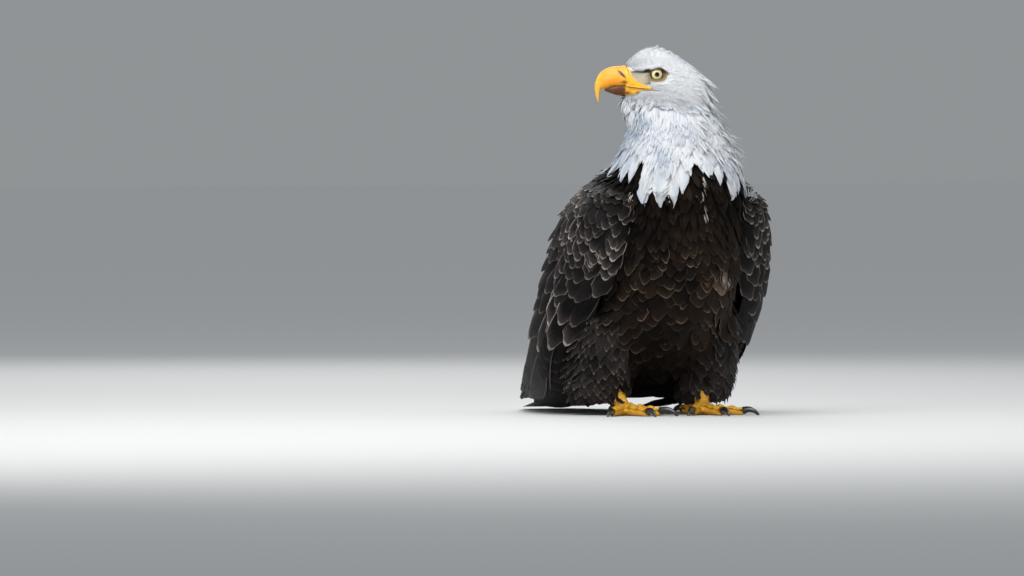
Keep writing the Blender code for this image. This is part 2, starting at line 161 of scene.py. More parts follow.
bpy.context.view_layer.objects.active = skin
bpy.ops.object.select_all(action="DESELECT")
skin.select_set(True)
bpy.ops.object.mode_set(mode="EDIT")
bpy.ops.mesh.select_all(action="SELECT")
bpy.ops.uv.smart_project(angle_limit=UNWRAP_ANGLE, island_margin=UNWRAP_MARGIN)
bpy.ops.object.mode_set(mode="OBJECT")
skin.data.uv_layers[0].name = "OFBake"

# The form is the skin at the coat's outer face: coats are laid on it, and its faces know
# which part of the body they are on.
form = skin.data.copy()
form.calc_loop_triangles()
form_at = vertex_array(form)
form_faces = [tuple(face.vertices) for face in form.polygons]
edges = np.empty(len(form.edges) * 2, dtype=int)
form.edges.foreach_get("vertices", edges)
edges = edges.reshape(-1, 2)
near = np.bincount(edges.ravel(), minlength=len(form_at))[:, None] + 1


def spread_out(values):
    """Each vertex takes the mean of itself and its neighbours."""
    total = values.copy()
    np.add.at(total, edges[:, 0], values[edges[:, 1]])
    np.add.at(total, edges[:, 1], values[edges[:, 0]])
    return total / near


def parts_at(points):
    """The name of the solid nearest to each point."""
    return [owners[outline.find_nearest(Vector(at))[2]] for at in points]


soft = (ease(*ABOVE_FEET, form_at[:, 2]) * (1 - ease(*UNDER_HEAD, in_head(form_at)[:, 2])))[:, None]
for _ in range(SOFTENING):
    form_at += (spread_out(form_at) - form_at) * soft
move_verts(form, form_at)
form_normal = vertex_array(form, "normal")
form_tree = BVHTree.FromPolygons(form_at.tolist(), form_faces)
hide_uv = np.empty(len(form.loops) * 2)
form.uv_layers[0].data.foreach_get("uv", hide_uv)
hide_uv = hide_uv.reshape(-1, 2)
face_uv = np.array([hide_uv[face.loop_start] for face in form.polygons])
triangle_verts = np.array([t.vertices[:] for t in form.loop_triangles])
triangle_face = np.array([t.polygon_index for t in form.loop_triangles])
face_middle = np.array([form_at[list(face)].mean(axis=0) for face in form_faces])
face_part = np.array(parts_at(face_middle))

depth = np.array([COAT_DEPTH[part.split("_")[0]] for part in parts_at(form_at)])[:, None]
for _ in range(DEPTH_BLENDING):
    depth = spread_out(depth)
depth = depth[:, 0]
face_depth = np.array([depth[list(face)].mean() for face in form_faces])

# Round the eyes and the bill the hide is bare and lies at the surface.
BARE_RING_LONG = 0.0135
BARE_RING_TALL = 0.0100
BROW_UP = 0.0086
BROW_DIP = 0.12
BROW_FALL = 0.55
CERE_EDGE = [
    # height on the head, how far forward the yellow begins
    (-0.0215, 0.0010), (-0.0154, 0.0178), (-0.0087, 0.0320), (0.0, 0.0385), (0.0080, 0.0412)]
JAW_EDGE = [
    # forward, height where the chin's feathers begin
    (0.0000, -0.0222), (0.0240, -0.0238), (0.0290, -0.0290), (0.0450, -0.0305)]


def yellow_face(forward, up):
    """1 on the cere and the fleshy corner of the gape, 0 on the lores."""
    edge = np.interp(up, *np.transpose(CERE_EDGE))
    low = np.interp(forward, *np.transpose(JAW_EDGE))
    return ease(-0.0022, 0.0016, forward - edge) * ease(-0.0010, 0.0008, up - low)


def brow_height(forward):
    """The lower edge of the brow, which sinks towards the bill and falls away behind the eye."""
    return BROW_UP - BROW_DIP * np.clip(forward, 0, 0.030) - BROW_FALL * np.clip(-0.006 - forward, 0, 0.03)


def bare_face(points):
    """1 on the bare skin of the face: round the eye, the lores, cere and gape; 0 in the coat."""
    forward, side, up = in_head(points).T
    eye_ring = np.hypot((forward + 0.0010) / BARE_RING_LONG, (up + 0.0008) / BARE_RING_TALL)
    around_eye = 1 - ease(0.95, 1.12, eye_ring)
    brow_line = brow_height(forward) - 0.0006 + 0.0050 * ease(0.033, 0.041, forward)
    below = -0.0135 - 0.08 * forward
    lores = (ease(0.006, 0.012, forward) * (1 - ease(brow_line - 0.0010, brow_line + 0.0010, up))
             * ease(below - 0.0015, below + 0.0010, up))
    yellow = yellow_face(forward, up) * (1 - ease(brow_line + 0.0004, brow_line + 0.0020, up))
    return np.clip(np.maximum(np.maximum(around_eye, lores), yellow), 0, 1) * ease(0.006, 0.009, abs(side))


depth = depth * (1 - bare_face(form_at)) + BARE_DEPTH * bare_face(form_at)
move_verts(skin.data, form_at - form_normal * depth[:, None])


class Finish:
    """A material, and the one method that adds its nodes. Coordinates are the object's own."""

    def __init__(self, name):
        self.material = bpy.data.materials.new(name)
        self.material.use_nodes = True
        self.tree = self.material.node_tree
        self.shader = self.tree.nodes["Principled BSDF"]
        self.at = self.node("TexCoord", {}, {}, "Object")

    def node(self, kind, sockets, settings, output=0):
        new = self.tree.nodes.new("ShaderNode" + kind)
        for key, value in settings.items():
            if key == "stops":
                ramp = new.color_ramp
                while len(ramp.elements) < len(value):
                    ramp.elements.new(1.0)
                for stop, (place, colour) in zip(ramp.elements, value):
                    stop.position = place
                    stop.color = (*colour, 1)
            else:
                setattr(new, key, value)
        for key, value in sockets.items():
            self.join(new.inputs[key], value)
        return Socket(self, new.outputs[output])

    def join(self, target, value):
        if isinstance(value, Socket):
            self.tree.links.new(value.socket, target)
        elif isinstance(value, tuple) and len(value) == 3 and target.type == "RGBA":
            target.default_value = (*value, 1)
        else:
            target.default_value = value

    def set(self, **sockets):
        for key, value in sockets.items():
            self.join(self.shader.inputs[key.replace("_", " ")], value)

    def noise(self, scale, detail=3.0):
        return self.node("TexNoise", {"Vector": self.at, "Scale": scale, "Detail": detail}, {})

    def attribute(self, name, output="Fac"):
        return self.node("Attribute", {}, {"attribute_name": name}, output)

    def mix(self, share, first, second):
        return self.node("Mix", {"Factor": share, 6: first, 7: second}, {"data_type": "RGBA"}, 2)

    def bump(self, height, distance, strength=1.0):
        return self.node("Bump", {"Height": height, "Distance": distance, "Strength": strength}, {})


class Socket:
    """A node's output that takes part in sums as a number does."""

    def __init__(self, finish, socket):
        self.finish = finish
        self.socket = socket

    def math(self, operation, *values):
        return self.finish.node("Math", dict(enumerate(values)), {"operation": operation})

    def __add__(self, other):
        return self.math("ADD", self, other)

    def __sub__(self, other):
        return self.math("SUBTRACT", self, other)

    def __rsub__(self, other):
        return self.math("SUBTRACT", other, self)

    def __mul__(self, other):
        return self.math("MULTIPLY", self, other)

    def __abs__(self):
        return self.math("ABSOLUTE", self)

    def sine(self):
        return self.math("SINE", self)

    def or_more(self, other):
        """The greater of the two."""
        return self.math("MAXIMUM", self, other)

    def ramp(self, low, high):
        """Smoothly from 0 at low to 1 at high."""
        return self.finish.node("MapRange", {"Value": self, "From Min": low, "From Max": high},
                                {"interpolation_type": "SMOOTHSTEP"})

    __radd__ = __add__
    __rmul__ = __mul__


def paint(mesh, name, colours):
    """Keeps one colour for every vertex, as the named attribute."""
    layer = mesh.color_attributes.new(name, "FLOAT_COLOR", "POINT")
    rgba = np.ones((len(colours), 4))
    rgba[:, :3] = colours
    layer.data.foreach_set("color", rgba.ravel())


def mixed(share, first, second):
    """Rows of colour between first and second, each by its own share."""
    return first + (np.asarray(second) - first) * share[:, None]


def beside_brow(forward, side):
    """1 on the sides of the face that carry brow and lores, 0 beyond them."""
    return ease(0.010, 0.016, abs(side)) * ease(-0.024, -0.012, forward) * (1 - ease(0.030, 0.040, forward))


def face_relief(points):
    """How far brow ridge and lores stand out from the head, as shifts of the points."""
    forward, side, up = in_head(points).T
    on_side = beside_brow(forward, side)
    above_brow = up - brow_height(forward) - BROW_OVER_EDGE
    brow = BROW_RISE * np.exp(-(above_brow / BROW_WIDTH) ** 2) * on_side
    lore_at = -((forward - LORE_FORWARD) / LORE_LONG) ** 2 - ((up - LORE_UP) / LORE_TALL) ** 2
    lore = -LORE_SINK * np.exp(lore_at) * on_side
    return np.sign(side)[:, None] * np.array(head_side) * (brow + lore)[:, None]


def dress(piece, finish, crease=None):
    """Shades the piece smooth, up to its crease angle, and gives it its finish."""
    piece.data.polygons.foreach_set("use_smooth", np.ones(len(piece.data.polygons), dtype=bool))
    if crease:
        piece.data.set_sharp_from_angle(angle=crease)
    piece.data.materials.append(finish.material)


# The face gets a finer grain than the rest, for the brow, the lores and the eye's bed.
FACE_GRAINS = 2
BROW_RISE = 0.0036
BROW_WIDTH = 0.0030
BROW_OVER_EDGE = 0.0020
LORE_SINK = 0.0018
LORE_FORWARD = 0.021
LORE_UP = -0.001
LORE_LONG = 0.008
LORE_TALL = 0.006

hide = bmesh.new()
hide.from_mesh(skin.data)
for _ in range(FACE_GRAINS):
    near_face = []
    for edge in hide.edges:
        forward, side, up = in_head((edge.verts[0].co + edge.verts[1].co) / 2)
        if -0.024 < forward < 0.045 and -0.026 < up < 0.018 and abs(side) > 0.012:
            near_face.append(edge)
    bmesh.ops.subdivide_edges(hide, edges=near_face, cuts=1, use_grid_fill=True)
    fine = list({vert for edge in near_face if edge.is_valid for vert in edge.verts})
    for _ in range(2):
        bmesh.ops.smooth_vert(hide, verts=fine, factor=0.5, use_axis_x=True, use_axis_y=True, use_axis_z=True)
cut = bmesh.ops.bisect_plane(hide, geom=hide.verts[:] + hide.edges[:] + hide.faces[:], dist=1e-6,
                             plane_co=(0, TAIL_FLESH, 0), plane_no=(0, 1, 0), clear_outer=True)
bmesh.ops.edgeloop_fill(hide, edges=[e for e in cut["geom_cut"] if isinstance(e, bmesh.types.BMEdge)])
hide.to_mesh(skin.data)
hide.free()

skin_at = vertex_array(skin.data)
forward, side, up = in_head(skin_at).T
skin_at += face_relief(skin_at)
move_verts(skin.data, skin_at)

# The hide is white under the head's coat down to the hackles' hem, brown under the rest, and
# painted where it is bare, with a painted shadow along the underside of the brow.
HEM = [
    # degrees round the neck from the front, height of the hackles' tips
    (-180, 0.344), (-165, 0.356), (-150, 0.342), (-138, 0.354), (-122, 0.340), (-112, 0.356),
    (-101, 0.344), (-90, 0.357), (-81, 0.341), (-76, 0.352), (-72, 0.342), (-64, 0.362),
    (-55, 0.307), (-48, 0.326), (-41, 0.303), (-35, 0.322), (-29, 0.301), (-24, 0.334),
    (-20, 0.325), (-8, 0.362), (4, 0.350), (9, 0.358), (16, 0.339), (24, 0.347), (32, 0.310),
    (45, 0.336), (65, 0.313), (78, 0.340), (92, 0.322), (108, 0.350), (126, 0.338), (140, 0.354),
    (155, 0.342), (168, 0.356), (180, 0.344)]
HEM_COVER = 0.006
MOUTH_STAINS = [
    # forward, up, half length, half height, strength
    (0.0465, -0.0112, 0.0042, 0.0019, 1.3), (0.0275, -0.0262, 0.0024, 0.0016, 1.2),
    (0.0430, -0.0272, 0.0050, 0.0030, 1.2), (0.0560, -0.0165, 0.0090, 0.0008, 0.8),
    (0.0360, -0.0150, 0.0050, 0.0006, 0.6), (0.0480, -0.0178, 0.0070, 0.0010, 0.9),
    (0.0330, -0.0215, 0.0080, 0.0008, 0.5)]
WHITE_HIDE = (0.66, 0.66, 0.68)
BROWN_HIDE = (0.020, 0.015, 0.012)
FOOT_YELLOW = (0.80, 0.42, 0.035)
CREASE_BROWN = (0.20, 0.07, 0.01)
RUST = (0.16, 0.022, 0.006)
LORE_CREAM = (0.60, 0.47, 0.28)
LORE_OLIVE = (0.17, 0.125, 0.055)
BROW_DARK = (0.022, 0.018, 0.013)
CERE_YELLOW = (0.88, 0.46, 0.030)
UNDER_BROW = 0.0018
UNDER_BROW_WIDTH = 0.0026
neck_low, neck_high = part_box("neck")
neck_middle = (neck_low + neck_high) / 2


def hem_at(points):
    """Height where the white hackles end, round the neck."""
    azimuth = np.degrees(np.arctan2(points[:, 0] - neck_middle.x, neck_middle.y - points[:, 1]))
    return through(HEM, azimuth)[:, 0]


def mouth_stain(forward, up):
    """Dark rusty blotches at the root of the bill and under the gape."""
    total = 0.0
    for at_forward, at_up, long, tall, strength in MOUTH_STAINS:
        total = total + strength * np.exp(-((forward - at_forward) / long) ** 2 - ((up - at_up) / tall) ** 2)
    return np.clip(total, 0, 0.9)


fine_part = [part.split("_")[0] for part in parts_at(skin_at)]
colours = np.array([WHITE_HIDE if part in ("head", "neck") else BROWN_HIDE for part in fine_part])
colours[skin_at[:, 2] < hem_at(skin_at) + HEM_COVER] = BROWN_HIDE
colours[np.array([part in ("tarsus", "toe") for part in fine_part])] = FOOT_YELLOW
bare_colour = mixed(ease(0.008, 0.020, forward), np.tile(LORE_OLIVE, (len(forward), 1)), LORE_CREAM)
bare_colour = mixed(yellow_face(forward, up), bare_colour, CERE_YELLOW)
bare_colour = mixed(yellow_face(forward, up) * mouth_stain(forward, up), bare_colour, RUST)
colours = mixed(bare_face(skin_at), colours, bare_colour)
# Painted shade: a dark band under the brow's edge, the brow's shadow over the eye, fading towards the bill.
under_brow = np.exp(-((up - brow_height(forward) + UNDER_BROW) / UNDER_BROW_WIDTH) ** 2)
under_brow = under_brow * (1 - 0.8 * ease(0.014, 0.034, forward))
colours = mixed(np.clip(under_brow * beside_brow(forward, side) * 1.3, 0, 1), colours, BROW_DARK)
paint(skin.data, "hide", colours)

hide_finish = Finish("hide")
wrinkle = hide_finish.noise(900, 2) * 0.5 + hide_finish.noise(330, 3)
scales = hide_finish.node("TexVoronoi", {"Vector": hide_finish.at, "Scale": 520.0}, {"feature": "F1"})
creased = wrinkle.ramp(0.55, 1.15) * 0.16
hide_colour = hide_finish.mix(creased, hide_finish.attribute("hide", "Color"), CREASE_BROWN)
hide_finish.set(Base_Color=hide_colour, Roughness=0.46, Specular_IOR_Level=0.3,
                Normal=hide_finish.bump(wrinkle - scales * 0.3, 0.0004))
dress(skin, hide_finish)
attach(skin, "root")
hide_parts(*FLESH)


# ---- Eyes -------------------------------------------------------------------------------
# Glass eyes set in the sockets: a black pupil in a pale straw iris with a dark outer ring,
# and a wet front. The lids are bare yellowish skin that hugs the ball all round.

PUPIL = 0.0033
IRIS = 0.0083
CORNEA_RISE = 0.0005
EYE_SEGMENTS = 64
EYE_ROWS = 48
RAMP_SPAN = 0.01
PUPIL_BLACK = (0.003, 0.003, 0.003)
IRIS_INNER = (0.50, 0.43, 0.17)
IRIS_STRAW = (0.82, 0.75, 0.44)
IRIS_OUTER = (0.74, 0.65, 0.32)
IRIS_RING = (0.10, 0.075, 0.03)
EYE_SHADE = (0.012, 0.010, 0.008)
LID_LONG = 0.0094
LID_TOP = 0.0060
LID_LOW = 0.0070
LID_TURN = math.radians(-6)
LID_STATIONS = 56
LID_RINGS = [
    # beyond the lid's opening, rise over ball or hide, whether it lies on the hide
    (0.0, 0.00005, False), (0.0003, 0.0010, False), (0.0011, 0.0013, False), (0.0024, 0.0009, False),
    (0.0042, 0.0006, True), (0.0060, -0.0004, True), (0.0040, -0.0030, True), (0.0010, -0.0020, False)]
LID_EDGE = 0.005
LID_YELLOW = (0.62, 0.42, 0.075)
LID_CREASE = (0.10, 0.06, 0.02)
BESIDE_HEAD = 0.07

eye_radius = (eye_boxes[0][1].z - eye_boxes[0][0].z) / 2
eye_centre = {side: (low + high) / 2 for side, (low, high) in zip(SIDES, eye_boxes)}
eye_side = abs(in_head(eye_centre["left"])[1])
hide_faces = [tuple(face.vertices) for face in skin.data.polygons]
skin_tree = BVHTree.FromPolygons(vertex_array(skin.data).tolist(), hide_faces)


def head_point(forward, side, up):
    """A place given from the middle between the eyes."""
    return eye_middle + head_forward * forward + head_side * side + Vector((0, 0, up))


def hide_out(forward, up, way):
    """How far the hide stands out from the head's middle at a place on one side."""
    hit = skin_tree.ray_cast(head_point(forward, way * BESIDE_HEAD, up), head_side * -way)[0]
    return abs(in_head(hit)[1]) if hit else 0.0


def blend(share, first, second):
    """One colour between two."""
    return np.array(first) * (1 - share) + np.array(second) * share


def add_ring(bm, points):
    """A closed ring of edges through the points."""
    verts = [bm.verts.new(point) for point in points]
    return [bm.edges.new((a, b)) for a, b in zip(verts, verts[1:] + verts[:1])]


eye_finish = Finish("eye_glass")
off_axis = eye_finish.attribute("from_axis") + eye_finish.noise(1500, 2) * 0.0006
pupil_stop, iris_stop = PUPIL / RAMP_SPAN, IRIS / RAMP_SPAN
iris_colour = eye_finish.node("ValToRGB", {"Fac": off_axis * (1 / RAMP_SPAN)}, {"stops": [
    (0.0, PUPIL_BLACK), (pupil_stop, PUPIL_BLACK), (pupil_stop + 0.045, IRIS_INNER), (0.52, IRIS_STRAW),
    (iris_stop - 0.09, IRIS_OUTER), (iris_stop - 0.02, IRIS_RING), (iris_stop + 0.08, EYE_SHADE)]})
eye_finish.set(Base_Color=iris_colour, Roughness=0.10, Coat_Weight=0.6, Coat_Roughness=0.02,
               Specular_IOR_Level=0.1)

for name, way in SIDES.items():
    ball = bmesh.new()
    bmesh.ops.create_uvsphere(ball, u_segments=EYE_SEGMENTS, v_segments=EYE_ROWS, radius=eye_radius)
    from_axis = []
    for vert in ball.verts:
        across, rise, out = vert.co
        off = math.hypot(across, rise)
        bulge = 1 + CORNEA_RISE / eye_radius * float(1 - ease(0.0, IRIS * 1.1, off)) * (out > 0)
        offset = head_forward * across + Vector((0, 0, rise)) + head_side * (way * out)
        vert.co = eye_centre[name] + offset * bulge
        from_axis.append(off if out > 0 else eye_radius)
    bmesh.ops.recalc_face_normals(ball, faces=ball.faces)
    eye = link_bm(f"eye_{name}_glass", ball)
    eye.data.attributes.new("from_axis", "FLOAT", "POINT").data.foreach_set("value", from_axis)
    dress(eye, eye_finish)
    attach(eye, "root")
    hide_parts(f"eye_{name}")

lid_finish = Finish("lid_skin")
crease = lid_finish.noise(1400, 3)
lid_colour = lid_finish.mix(crease.ramp(0.4, 0.8) * 0.4, lid_finish.attribute("lid", "Color"), LID_CREASE)
lid_finish.set(Base_Color=lid_colour, Roughness=0.42, Normal=lid_finish.bump(crease, 0.0005))


def lid_tone(beyond, angle):
    """A dark rim at the ball, then yellow, then olive, and painted shade of the brow along the upper edge."""
    outer = float(ease(0.0026, 0.0052, beyond))
    tone = blend(float(ease(0.0007, 0.0012, beyond)), BROW_DARK, LID_YELLOW)
    over = float(ease(0.25, 0.75, math.sin(angle + 0.15))) * (0.35 + 0.65 * outer)
    return blend(over, blend(outer, tone, LORE_OLIVE), BROW_DARK)


for name, way in SIDES.items():
    lid = bmesh.new()
    rings = []
    lid_colours = []
    for beyond, rise, on_hide in LID_RINGS:
        points = []
        for k in range(LID_STATIONS):
            angle = 2 * math.pi * k / LID_STATIONS
            long = (LID_LONG + beyond) * math.cos(angle)
            tall = ((LID_TOP if math.sin(angle) > 0 else LID_LOW) + beyond * 0.8) * math.sin(angle)
            forward = long * math.cos(LID_TURN) - tall * math.sin(LID_TURN)
            up = long * math.sin(LID_TURN) + tall * math.cos(LID_TURN)
            off = min(math.hypot(forward, up), eye_radius * 0.985)
            out = eye_side + math.sqrt(eye_radius ** 2 - off ** 2) + rise
            if on_hide:
                over_hide = hide_out(forward, up, way) + rise
                out = over_hide if beyond > LID_EDGE else max(over_hide, out) * 0.5 + over_hide * 0.5
            points.append(head_point(forward, way * out, up))
            lid_colours.append(lid_tone(beyond, angle))
        rings.append(add_ring(lid, points))
    for first, second in zip(rings, rings[1:] + rings[:1]):
        bmesh.ops.bridge_loops(lid, edges=first + second)
    bmesh.ops.recalc_face_normals(lid, faces=lid.faces)
    lids = link_bm(f"eyelids_{name}", lid)
    paint(lids.data, "lid", np.array(lid_colours))
    dress(lids, lid_finish)
    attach(lids, "root")


# ---- Bill -------------------------------------------------------------------------------
# A deep hooked bill of yellow horn over bone. The cere, a soft yellow pad pierced by the
# slit nostrils, caps its root, and the gape runs back as a fleshy yellow lip.

UPPER_BILL = [
    # step, ridge forward, ridge up, edge forward, edge up, half width
    (0, 0.034, 0.0100, 0.029, -0.0150, 0.0134), (1, 0.040, 0.0113, 0.036, -0.0168, 0.0132),
    (2, 0.050, 0.0118, 0.047, -0.0170, 0.0130), (3, 0.062, 0.0112, 0.059, -0.0180, 0.0120),
    (4, 0.072, 0.0085, 0.069, -0.0195, 0.0105), (5, 0.081, 0.0025, 0.076, -0.0208, 0.0085),
    (6, 0.087, -0.0070, 0.080, -0.0222, 0.0065), (7, 0.0895, -0.0180, 0.0815, -0.0255, 0.0045),
    (8, 0.088, -0.0290, 0.0828, -0.0320, 0.0025), (9, 0.085, -0.0395, 0.0836, -0.0390, 0.0008)]
LOWER_BILL = [
    # step, forward, top, bottom, half width
    (0, 0.020, -0.0130, -0.0295, 0.0125), (1, 0.030, -0.0125, -0.0310, 0.0120),
    (2, 0.042, -0.0115, -0.0315, 0.0112), (3, 0.057, -0.0130, -0.0302, 0.0098),
    (4, 0.068, -0.0160, -0.0268, 0.0072), (5, 0.0750, -0.0195, -0.0240, 0.0035)]
BILL_ROWS = 56
BILL_ROUND = 40
HORN_CREASE = math.radians(50)
RIDGE_NARROWING = 0.30
EDGE_WAVE = 0.0008
EDGE_WAVE_FROM = 3.4
EDGE_WAVE_LONG = 2.2
CERE_END = 2.15
CERE_RISE = 0.0007
NOSTRIL = (0.0505, 0.0006)
NOSTRIL_LONG = 0.0046
NOSTRIL_TALL = 0.0012
NOSTRIL_SIDE = 0.0125
NOSTRIL_DEPTH = 0.0050
NOSTRIL_DARK = (0.03, 0.007, 0.003)
HORN_ORANGE = (0.88, 0.33, 0.016)
HORN_TIP = (0.88, 0.50, 0.055)
# A dark red-brown for stains on the horn and for painted shade on the lower bill.
HORN_STAIN_AND_SHADE = (0.060, 0.012, 0.006)
HORN_MOTTLE = (0.55, 0.13, 0.010)
LOWER_TIP = (0.075, 0.045, 0.014)
GAPE_LINE = [
    # step, forward, up
    (0, 0.0450, -0.0175), (1, 0.0340, -0.0190), (2, 0.0220, -0.0205), (3, 0.0100, -0.0212),
    (4, -0.0015, -0.0205)]
GAPE_ROWS = 26
GAPE_ROUND = 12
GAPE_OUT = 0.0128
GAPE_BEDDED = 0.0006
LIP_THICK = {1: 0.0014, -1: 0.0012}
LIP_YELLOW = (0.80, 0.42, 0.035)
LIP_DARK = (0.085, 0.016, 0.006)
LOWER_LIP_STAIN = 0.30


def bridge_rings(bm, rings):
    """Joins the rings in order and closes both ends."""
    for first, second in zip(rings, rings[1:]):
        bmesh.ops.bridge_loops(bm, edges=first + second)
    for end in (rings[0], rings[-1]):
        bmesh.ops.contextual_create(bm, geom=end)
    bmesh.ops.recalc_face_normals(bm, faces=bm.faces)


def oval(count, narrow=0.0, power=2.2):
    """Unit places round a section that is narrower above where narrow is positive."""
    angle = np.arange(count) * 2 * math.pi / count
    across, rise = np.cos(angle), np.sin(angle)
    reach = (abs(across) ** power + abs(rise) ** power) ** (-1 / power)
    return across * reach * (1 - narrow * rise), rise * reach


upper = bmesh.new()
rings = []
for step in np.linspace(0, 9, BILL_ROWS):
    ridge_forward, ridge_up, edge_forward, edge_up, half = through(UPPER_BILL, step)[0]
    ridge = head_point(ridge_forward, 0, ridge_up)
    edge = head_point(edge_forward, 0, edge_up)
    in_wave = max(min(step - EDGE_WAVE_FROM, EDGE_WAVE_LONG), 0)
    wave = EDGE_WAVE * math.sin(in_wave / EDGE_WAVE_LONG * math.pi)
    points = []
    for x, y in zip(*oval(BILL_ROUND, RIDGE_NARROWING)):
        cere = CERE_RISE * float(1 - ease(CERE_END - 0.16, CERE_END + 0.05, step - 0.9 * max(0, -y)))
        place = (ridge + edge) / 2 + (ridge - edge) * (y / 2) + head_side * ((half + cere) * x)
        place += (ridge - edge).normalized() * (cere * y - wave * max(0, -y) ** 3)
        points.append(place)
    rings.append(add_ring(upper, points))
bridge_rings(upper, rings)
upper_bill = link_bm("bill_upper_horn", upper)

nostril_cutters = bmesh.new()
for way in SIDES.values():
    made = bmesh.ops.create_uvsphere(nostril_cutters, u_segments=24, v_segments=16, radius=1.0)["verts"]
    for vert in made:
        x, y, z = vert.co
        long, tall = x * NOSTRIL_LONG, y * NOSTRIL_TALL
        vert.co = head_point(NOSTRIL[0] + (long - tall) * 0.72, way * (NOSTRIL_SIDE + z * NOSTRIL_DEPTH),
                             NOSTRIL[1] + (long + tall) * 0.72)
nostril_tool = link_bm("nostril_tool", nostril_cutters)
bore = upper_bill.modifiers.new("nostrils", "BOOLEAN")
bore.operation = "DIFFERENCE"
bore.solver = "EXACT"
bore.object = nostril_tool
work_in_modifiers(upper_bill)
bpy.data.objects.remove(nostril_tool)

horn_finish = Finish("bill_horn")
grain = horn_finish.noise(260, 4) * 0.6 + horn_finish.noise(900, 2) * 0.4
mottled = grain.ramp(0.42, 0.80) * 0.35
horn_colour = horn_finish.mix(mottled, horn_finish.attribute("horn", "Color"), HORN_MOTTLE)
horn_finish.set(Base_Color=horn_colour, Roughness=grain * 0.18 + 0.30, Coat_Weight=0.10, Coat_Roughness=0.20,
                Specular_IOR_Level=0.3, Normal=horn_finish.bump(grain, 0.0003))

forward, side, up = in_head(vertex_array(upper_bill.data)).T
bill_colour = np.tile(HORN_ORANGE, (len(forward), 1))
bill_colour = mixed(ease(0.074, 0.090, forward - 0.30 * np.clip(up + 0.012, -0.03, 0)), bill_colour, HORN_TIP)
bill_colour = mixed(1 - ease(0.043, 0.052, forward + 0.35 * up), bill_colour, CERE_YELLOW)
# Darker along the lower edge of the upper bill.
near_edge = np.exp(-((up + 0.0185 + 0.12 * (forward - 0.055)) / 0.0016) ** 2)
near_edge = near_edge * (1 - ease(0.070, 0.078, forward))
bill_colour = mixed(near_edge * 0.30, bill_colour, HORN_STAIN_AND_SHADE)
bill_colour = mixed(mouth_stain(forward, up), bill_colour, RUST)
along_slit = ((forward - NOSTRIL[0]) + (up - NOSTRIL[1])) * 0.70
across_slit = ((up - NOSTRIL[1]) - (forward - NOSTRIL[0])) * 0.70
slit = np.hypot(along_slit / NOSTRIL_LONG, across_slit / NOSTRIL_TALL)
slit_shade = 1 - ease(1.10, 2.1, slit) * 0.62 - 0.38 * ease(0.9, 3.4, slit)
paint(upper_bill.data, "horn", mixed(slit_shade, bill_colour, NOSTRIL_DARK))

lower = bmesh.new()
rings = []
for step in np.linspace(0, 5, BILL_ROWS // 2):
    forward, top, bottom, half = through(LOWER_BILL, step)[0]
    rings.append(add_ring(lower, [head_point(forward, half * x, (top + bottom) / 2 + (top - bottom) / 2 * y)
                                  for x, y in zip(*oval(BILL_ROUND))]))
bridge_rings(lower, rings)
lower_bill = link_bm("bill_lower_horn", lower)
forward = in_head(vertex_array(lower_bill.data))[:, 0]
lower_colour = np.tile(HORN_ORANGE, (len(forward), 1))
# The lower bill darkens towards its front and tip: painted shade under the hook, with stain.
lower_colour = mixed(ease(0.038, 0.048, forward) * 0.95, lower_colour, HORN_STAIN_AND_SHADE)
paint(lower_bill.data, "horn", mixed(ease(0.058, 0.068, forward), lower_colour, LOWER_TIP))

for piece, node in ((upper_bill, "bill_upper"), (lower_bill, "bill_lower")):
    dress(piece, horn_finish, HORN_CREASE)
    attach(piece, "root")
    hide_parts(node)

gape_colours = []
gape = bmesh.new()
for way in SIDES.values():
    for lip, thick in LIP_THICK.items():
        rings = []
        for step in np.linspace(0, 4, GAPE_ROWS):
            forward, up = through(GAPE_LINE, step)[0]
            full = thick * math.sqrt(max(1 - (step / 4.02) ** 3, 0.003)) * min(0.3 + step * 1.6, 1)
            out = max(hide_out(forward, up, way), GAPE_OUT) - GAPE_BEDDED
            centre = head_point(forward, way * out, up + lip * full * 0.82)
            points = []
            for angle in np.arange(GAPE_ROUND) * 2 * math.pi / GAPE_ROUND:
                sideways = head_side * (way * full * 0.9 * math.cos(angle))
                points.append(centre + sideways + Vector((0, 0, full * math.sin(angle))))
                inner = max(float(ease(-0.15, 0.75, -lip * math.sin(angle))), LOWER_LIP_STAIN * (lip < 0))
                gape_colours.append(blend(inner, LIP_YELLOW, LIP_DARK))
            rings.append(add_ring(gape, points))
        bridge_rings(gape, rings)
gape_piece = link_bm("gape", gape)
paint(gape_piece.data, "horn", np.array(gape_colours))
dress(gape_piece, horn_finish)
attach(gape_piece, "root")


# ---- Head feathers ----------------------------------------------------------------------
# Short white feathers that sweep back from the bill over crown, cheeks and throat, each a
# closed vane rooted in the skin. They are shortest at the bill, with fine bristles on the
# lores, and longest in the loose strands of nape and chin.

random = np.random.default_rng(7)


def unit(vectors):
    """The vectors at a length of one."""
    return vectors / np.maximum(np.linalg.norm(vectors, axis=-1, keepdims=True), 1e-9)


